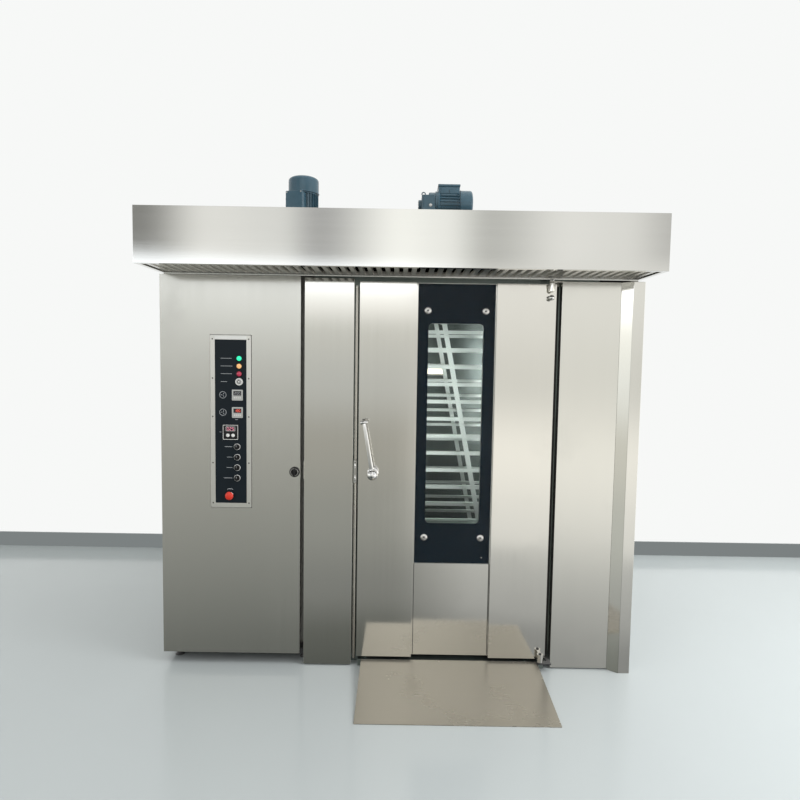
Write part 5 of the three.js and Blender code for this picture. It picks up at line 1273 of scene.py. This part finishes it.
def addFanMotor():
    # made about its own axis, then set over the stand
    centreX, centreY = middleOf("fan_stand")[:2]
    low, high = boxOf("fan_motor")
    foot, flange, wide = low[2], drive["flange"], drive["flangeRadius"]
    barrelTop = high[2] - drive["fanCowl"] - foot
    housing, metal, glands = bmesh.new(), bmesh.new(), bmesh.new()
    addMotorFrame(housing, drive["fanRadius"], barrelTop - flange, drive["fanFins"])
    bmesh.ops.translate(housing, vec=(0, 0, flange), verts=housing.verts)
    hole, depth = drive["shaftHole"], drive["shaftDepth"]
    addLathe(housing, [(0, depth), (hole, depth), (hole, 0), (wide - 1, 0), (wide, 1), (wide, flange - 3),
                       (wide - 2, flange - 1), (wide - 14, flange), (0, flange)], (0, 0, 0), "z", 72)
    addCowl(housing, drive["fanCowlRadius"], barrelTop, drive["fanCowl"], 24)
    spots = circleLoop(0, 0, wide - 9, drive["flangeBolts"], 0.5)
    addHexBolts(metal, [(x, y, flange - 1.5) for x, y in spots], 6.2, 6.0)
    boxLow, boxTop = drive["boxFoot"], barrelTop - drive["boxBelow"]
    reach, half, over = drive["fanRadius"] + drive["boxReach"], drive["boxHalf"], drive["lidOver"]
    box = addBlock(housing, (drive["fanRadius"] - 12, reach), (-half, half), (boxLow, boxTop), 4.0, 3)
    box += addBlock(housing, (reach - 1, reach + 8), (-half - over, half + over),
                    (boxLow - over, boxTop + over), 3.0, 3)
    turnAbout(housing, box, drive["boxTurn"], (0, 0, 0), "Z")
    corners = [(reach + 7.8, y, z) for y in (over - half, half - over) for z in (boxLow + 4, boxTop - 4)]
    bolted = set(metal.verts)
    addScrews(metal, corners, 4.0, 2.0, "x")
    turnAbout(metal, [vert for vert in metal.verts if vert not in bolted], drive["boxTurn"], (0, 0, 0), "Z")
    for height in (12, 48):   # above the terminal box's middle
        addGland(glands, 9.0, (reach - 26, -half, (boxLow + boxTop) / 2 + height), "y")
    turnAbout(glands, glands.verts, drive["boxTurn"], (0, 0, 0), "Z")
    for shape in (housing, metal, glands):
        bmesh.ops.translate(shape, vec=(centreX, centreY, foot), verts=shape.verts)
    finishPiece(housing, "fan_motor_housing", "motorPaint", "oven_body", ("fan_motor",),
                smooth=38)
    finishPiece(metal, "fan_motor_bolts", "screwSteel", "oven_body")
    finishPiece(glands, "fan_motor_glands", "blackPlastic", "oven_body")


def addGearmotor():
    low, high = boxOf("gearmotor")
    axis, centreY, top = low[2] + drive["gearCowlRadius"], (low[1] + high[1]) / 2, high[2]
    length = high[0] - low[0] - drive["gearCowl"]
    shape, metal, glands = bmesh.new(), bmesh.new(), bmesh.new()
    addMotorFrame(shape, drive["gearRadius"], length, drive["gearFins"])
    addCowl(shape, drive["gearCowlRadius"], length, drive["gearCowl"], 16)
    bmesh.ops.rotate(shape, matrix=turns["x"], verts=shape.verts)
    bmesh.ops.translate(shape, vec=(low[0], centreY, axis), verts=shape.verts)
    boxX = [low[0] + distance for distance in drive["gearBoxX"]]
    boxY, over = about(centreY, drive["gearBoxHalf"]), drive["lidOver"]
    face, middle = boxY[0], (boxX[0] + boxX[1]) / 2
    addBlock(shape, boxX, boxY, (axis, top - 12), 4.0, 3)
    addBlock(shape, (boxX[0] - 3, boxX[1] + 3), (face - over, boxY[1] + over), (top - 13, top), 3.0, 3)
    addBlock(shape, (boxX[0] + 14, boxX[1] - 14), (face - 3, face + 1), (axis + 22, top - 22), 2.0, 3)
    addBlock(shape, (boxX[0] + 5, boxX[1] - 5), (face - 4, face + 1), (axis + 6, axis + 12), 1.5)
    addBlock(glands, about(middle, 1.6), (face - 3.6, face - 2.6), (axis + 50, axis + 74), 0.4, 1)
    addGland(glands, 10.0, (boxX[1], centreY - 20, axis + 54), "x")
    corners = [(x, y, top - 0.2) for x in (boxX[0] + 5, boxX[1] - 5) for y in (face + over, boxY[1] - over)]
    addScrews(metal, corners, 4.0, 1.8, "z")
    finishPiece(shape, "gearmotor_housing", "motorPaint", "oven_body", ("gearmotor",),
                smooth=38)
    finishPiece(metal, "gearmotor_screws", "screwSteel", "oven_body")
    finishPiece(glands, "gearmotor_glands", "blackPlastic", "oven_body")


def addGearboxParts():
    low, high = boxOf("gearbox")
    x, centreY = (low[0] + high[0]) / 2, (low[1] + high[1]) / 2
    axis = boxOf("gearmotor")[0][2] + drive["gearCowlRadius"]
    bolts, lugs = bmesh.new(), bmesh.new()
    covers = ((high[0] - 14.5, axis, drive["coverBolts"]), (low[0] + 6.4, axis - 10, drive["bearingBolts"]))
    for face, middle, (count, circle, size) in covers:
        spots = [(face, y, z) for y, z in circleLoop(centreY, middle, circle, count, 0.5)]
        addHexBolts(bolts, spots, size, size, "left")
    addHexBolts(bolts, [(low[0] + 11, centreY + side * 54, low[2] + 13.8) for side in (-1, 1)], 6.0, 6.0)
    addHexBolts(bolts, [(x - 20, centreY - 70, axis - 70), (x + 16, centreY - 70, axis - 20)], 6.5, 7.0, "y")
    finishPiece(bolts, "gearbox_bolts", "screwSteel", "oven_body")
    top = axis + 39
    addLathe(lugs, [(0, 0), (9, 0), (9, 4), (5, 6), (5, 10), (0, 10)], (x - 24, centreY, top - 0.5), "z", 28)
    eye = circleLoop(10.0, 0, 3.2, 14)
    addLathe(lugs, eye + eye[:1], (x - 24, centreY, top + 21), "y", 36)
    addLathe(lugs, [(0, 0), (8, 0), (8, 6), (6.5, 8), (6.5, 16), (5, 18), (0, 18)],
             (x + 12, centreY - 34, top - 0.5), "z", 24)
    for side in (-1, 1):
        addBlock(lugs, (low[0] + 2, low[0] + 22), about(centreY + side * 46, 4),
                 (low[2] + 13, low[2] + 62), 2.0)
    finishPiece(lugs, "gearbox_lugs", "castPaint", "oven_body", smooth=45)


addFanMotor()
addGearmotor()
addGearboxParts()
print("roof drives made")


# lamp in the chamber's rear wall

ovenLamp = {"x": 235.0, "z": 1452.0, "wide": 170.0, "tall": 90.0, "proud": 16.0, "rim": 14.0, "screw": 7}


def addOvenLamp():
    wall, rim = boxOf("chamber_rear_wall")[0][1], ovenLamp["rim"]
    front = wall - ovenLamp["proud"]
    x, z = about(ovenLamp["x"], ovenLamp["wide"] / 2), about(ovenLamp["z"], ovenLamp["tall"] / 2)
    frameShape, lens, screws = bmesh.new(), bmesh.new(), bmesh.new()
    hole = cornerLoop((x[0] + rim, x[1] - rim), (z[0] + rim, z[1] - rim), 4.0)
    addSheet(frameShape, cornerLoop(x, z, 8.0), [hole], (front, wall - 0.3))
    roundEdges(frameShape, 1.5)
    rim += 0.4
    addBlock(lens, (x[0] + rim, x[1] - rim), (front + 3, wall - 0.3), (z[0] + rim, z[1] - rim), 2.0)
    inset = ovenLamp["screw"]
    corners = [(cornerX, front + 0.2, cornerZ) for cornerX in (x[0] + inset, x[1] - inset)
               for cornerZ in (z[0] + inset, z[1] - inset)]
    addScrews(screws, corners, 3.6, 1.8)
    finishPiece(frameShape, "oven_lamp_frame", "screwSteel", "oven_body")
    finishPiece(lens, "oven_lamp_lens", "ovenLamp", "oven_body")
    finishPiece(screws, "oven_lamp_screws", "screwSteel", "oven_body")


addOvenLamp()
print("oven lamp made")


# small fittings: caps and ball of the top hinge, keeper, black strip of painted shade in the hinge gap, bolts
# of the stands

fittings = {
    "hingeEye": 15.0,        # the hinge axis is one eye radius in from the bracket's corner
    "hingeBall": 13.0,
    "ballDrop": 10.0,
    "keeperHeights": (920.0, 1034.0),
    "keeperPlate": 1.2,
    "keeperRods": (20, 80),  # height above its foot
    "stands": {"drive_stand": (172.0, 20.0), "fan_stand": (152.0, 16.0)},   # bolt height and inset
}


def addHingeCaps():
    low, high = boxOf("top_hinge_bracket")
    axis, radius = (low[0] + fittings["hingeEye"], low[1] + fittings["hingeEye"]), fittings["hingeBall"]
    shape = bmesh.new()
    addLathe(shape, [(0, -radius), *ballProfile(radius, 20), (0, radius)],
             (*axis, low[2] - fittings["ballDrop"]), "z", 40)
    addLathe(shape, [(0, 0), (11.5, 0), (12.5, 1.0), (12.5, 5.0), (10.5, 8.0), (0, 8.0)],
             (*axis, high[2] + 0.3), "z", 32)
    finishPiece(shape, "hinge_caps", "chrome", "oven_body", smooth=50)


def addKeeper():
    low, high = boxOf("latch_post")
    (foot, top), plate = fittings["keeperHeights"], fittings["keeperPlate"]
    x, face = (low[0] + high[0]) / 2, low[1]
    shape, screws = bmesh.new(), bmesh.new()
    addSheet(shape, cornerLoop(about(x, 6.0), (foot + 4, top - 4), 3.0),
             [cornerLoop(about(x, 3.0), (foot + 40, top - 40), 2.0)], (face - plate, face - 0.2))
    for height in reversed(fittings["keeperRods"]):
        addRod(shape, 3.6, (x, face - 3.0, foot + height), 14.0, "z", 20, 0.8)
    addScrews(screws, [(x, face - plate, z) for z in (foot + 12, top - 12)], 3.4, 1.6)
    finishPiece(shape, "latch_keeper", "chrome", "oven_body", smooth=45)
    finishPiece(screws, "latch_keeper_screws", "siliconeSeal", "oven_body")


def addGapPaintedShade():
    # a black strip on the door frame, painted shade that darkens the gap on the hinge side
    (leafLow, leafHigh), panelEdge = boxOf("door_leaf"), boxOf("right_front_panel")[0][0]
    back = boxOf("door_frame")[0][1]
    shape = bmesh.new()
    addBlock(shape, (leafHigh[0] + 4, panelEdge - 4), (back - 8, back - 0.2),
             (leafLow[2] + 8, leafHigh[2] - 4), 3.0)
    finishPiece(shape, "hinge_gap_painted_shade", "siliconeSeal", "oven_body")


def addStandBolts():
    shape = bmesh.new()
    for node, (height, inset) in fittings["stands"].items():
        low, high = boxOf(node)
        corners = [(x, y, low[2] + height + 0.2) for x in (low[0] + inset, high[0] - inset)
                   for y in (low[1] + inset, high[1] - inset)]
        addHexBolts(shape, corners, 6.5, 7.0)
    finishPiece(shape, "stand_bolts", "screwSteel", "oven_body")


addHingeCaps()
addKeeper()
addGapPaintedShade()
addStandBolts()
print("small fittings made")


# casing: sheet joints and sunk screws in the flanks and the back, pan heads on the roof

casing = {
    "rows": 8,
    "fromFoot": 70.0,
    "fromTop": 60.0,
    "jointWidth": 2.4,
    "jointDepth": 1.2,
    "besideJoint": 22.0,
    "sinkRadius": 7.5,
    "sinkDepth": 1.6,
    "flankColumns": (60.0, 720.0),   # screw columns, from the flank's rear edge
    "flankJoint": 742.0,
    "backJoints": (-383.0, 383.0),
    "backEdge": 40.0,
    "roofInset": (22, 26),   # of the roof's screws, along x and y
    "roofRows": (11, 7),     # steps between them
}


def cutFrom(piece, cutter):
    # a cutter's shape, in millimetres, is taken out of a finished piece
    bmesh.ops.scale(cutter, vec=(mm, mm, mm), verts=cutter.verts)
    mesh = bpy.data.meshes.new("casingCutter")
    cutter.to_mesh(mesh)
    cutter.free()
    tool = bpy.data.objects.new("casingCutter", mesh)
    bpy.context.scene.collection.objects.link(tool)
    piece.modifiers.clear()
    cut = piece.modifiers.new("cut", "BOOLEAN")
    cut.operation, cut.solver, cut.object = "DIFFERENCE", "EXACT", tool
    bpy.context.view_layer.update()
    whole = piece.evaluated_get(bpy.context.evaluated_depsgraph_get())
    piece.data = bpy.data.meshes.new_from_object(whole)
    piece.modifiers.clear()
    bpy.data.objects.remove(tool)
    flatten(piece)


def addSunkScrews(node, axis, columns, joints, face):
    # axis is the way the sheet faces; columns and joints run upright along the sheet
    low, high = boxOf(node)
    first, last, count = low[2] + casing["fromFoot"], high[2] - casing["fromTop"], casing["rows"]
    rows = [first + (last - first) * row / (count - 1) for row in range(count)]
    cutter, screws = bmesh.new(), bmesh.new()
    sink, depth = casing["sinkRadius"], casing["sinkDepth"]
    outward = {"left": -1, "x": 1, "back": 1}[axis]
    for joint in joints:
        across = about(joint, casing["jointWidth"] / 2)
        through = sorted((face - outward * casing["jointDepth"], face + outward))
        x, y = (across, through) if axis == "back" else (through, across)
        addBlock(cutter, x, y, (low[2] - 1, high[2] + 1))
    for column, row in [(column, row) for column in columns for row in rows]:
        place = (column, face, row) if axis == "back" else (face, column, row)
        addLathe(cutter, [(0, -depth), (sink * 0.55, -depth), (sink, 0), (sink, 1), (0, 1)], place, axis, 20)
        addLathe(screws, [(0, -depth + 0.1), (sink * 0.5, -depth + 0.1), (sink * 0.82, -0.35),
                          (sink * 0.4, -0.3), (sink * 0.34, -1.0), (0, -1.0)], place, axis, 20)
    cutFrom(bpy.data.objects[node + "_finished"], cutter)
    finishPiece(screws, node + "_screws", "screwSteel", "oven_body")


def addRoofScrews():
    low, high = boxOf("roof_panel")
    insetX, insetY = casing["roofInset"]
    alongSides, acrossEnds = casing["roofRows"]
    heads = bmesh.new()
    spots = [(low[0] + insetX + (high[0] - low[0] - 2 * insetX) * step / alongSides, y, high[2])
             for step in range(alongSides + 1) for y in (low[1] + insetY, high[1] - insetY)]
    spots += [(x, low[1] + insetY + (high[1] - low[1] - 2 * insetY) * step / acrossEnds, high[2])
              for step in range(1, acrossEnds) for x in (low[0] + insetX, high[0] - insetX)]
    addScrews(heads, spots, 5.0, 2.4, "z")
    finishPiece(heads, "roof_screws", "screwSteel", "oven_body")


rearFace = boxOf("rear_panel")[1][1]
for node, axis, side in (("left_side_panel", "left", 0), ("right_side_panel", "x", 1)):
    joint = rearFace - casing["flankJoint"]
    columns = [rearFace - distance for distance in casing["flankColumns"]] + [joint - casing["besideJoint"]]
    addSunkScrews(node, axis, columns, [joint], boxOf(node)[side][0])
edges = drawnIn("rear_panel", casing["backEdge"])[0]
beside = [joint + side * casing["besideJoint"] for joint in casing["backJoints"] for side in (-1, 1)]
addSunkScrews("rear_panel", "back", [*edges, *beside], casing["backJoints"], rearFace)
addRoofScrews()
print("casing details made")
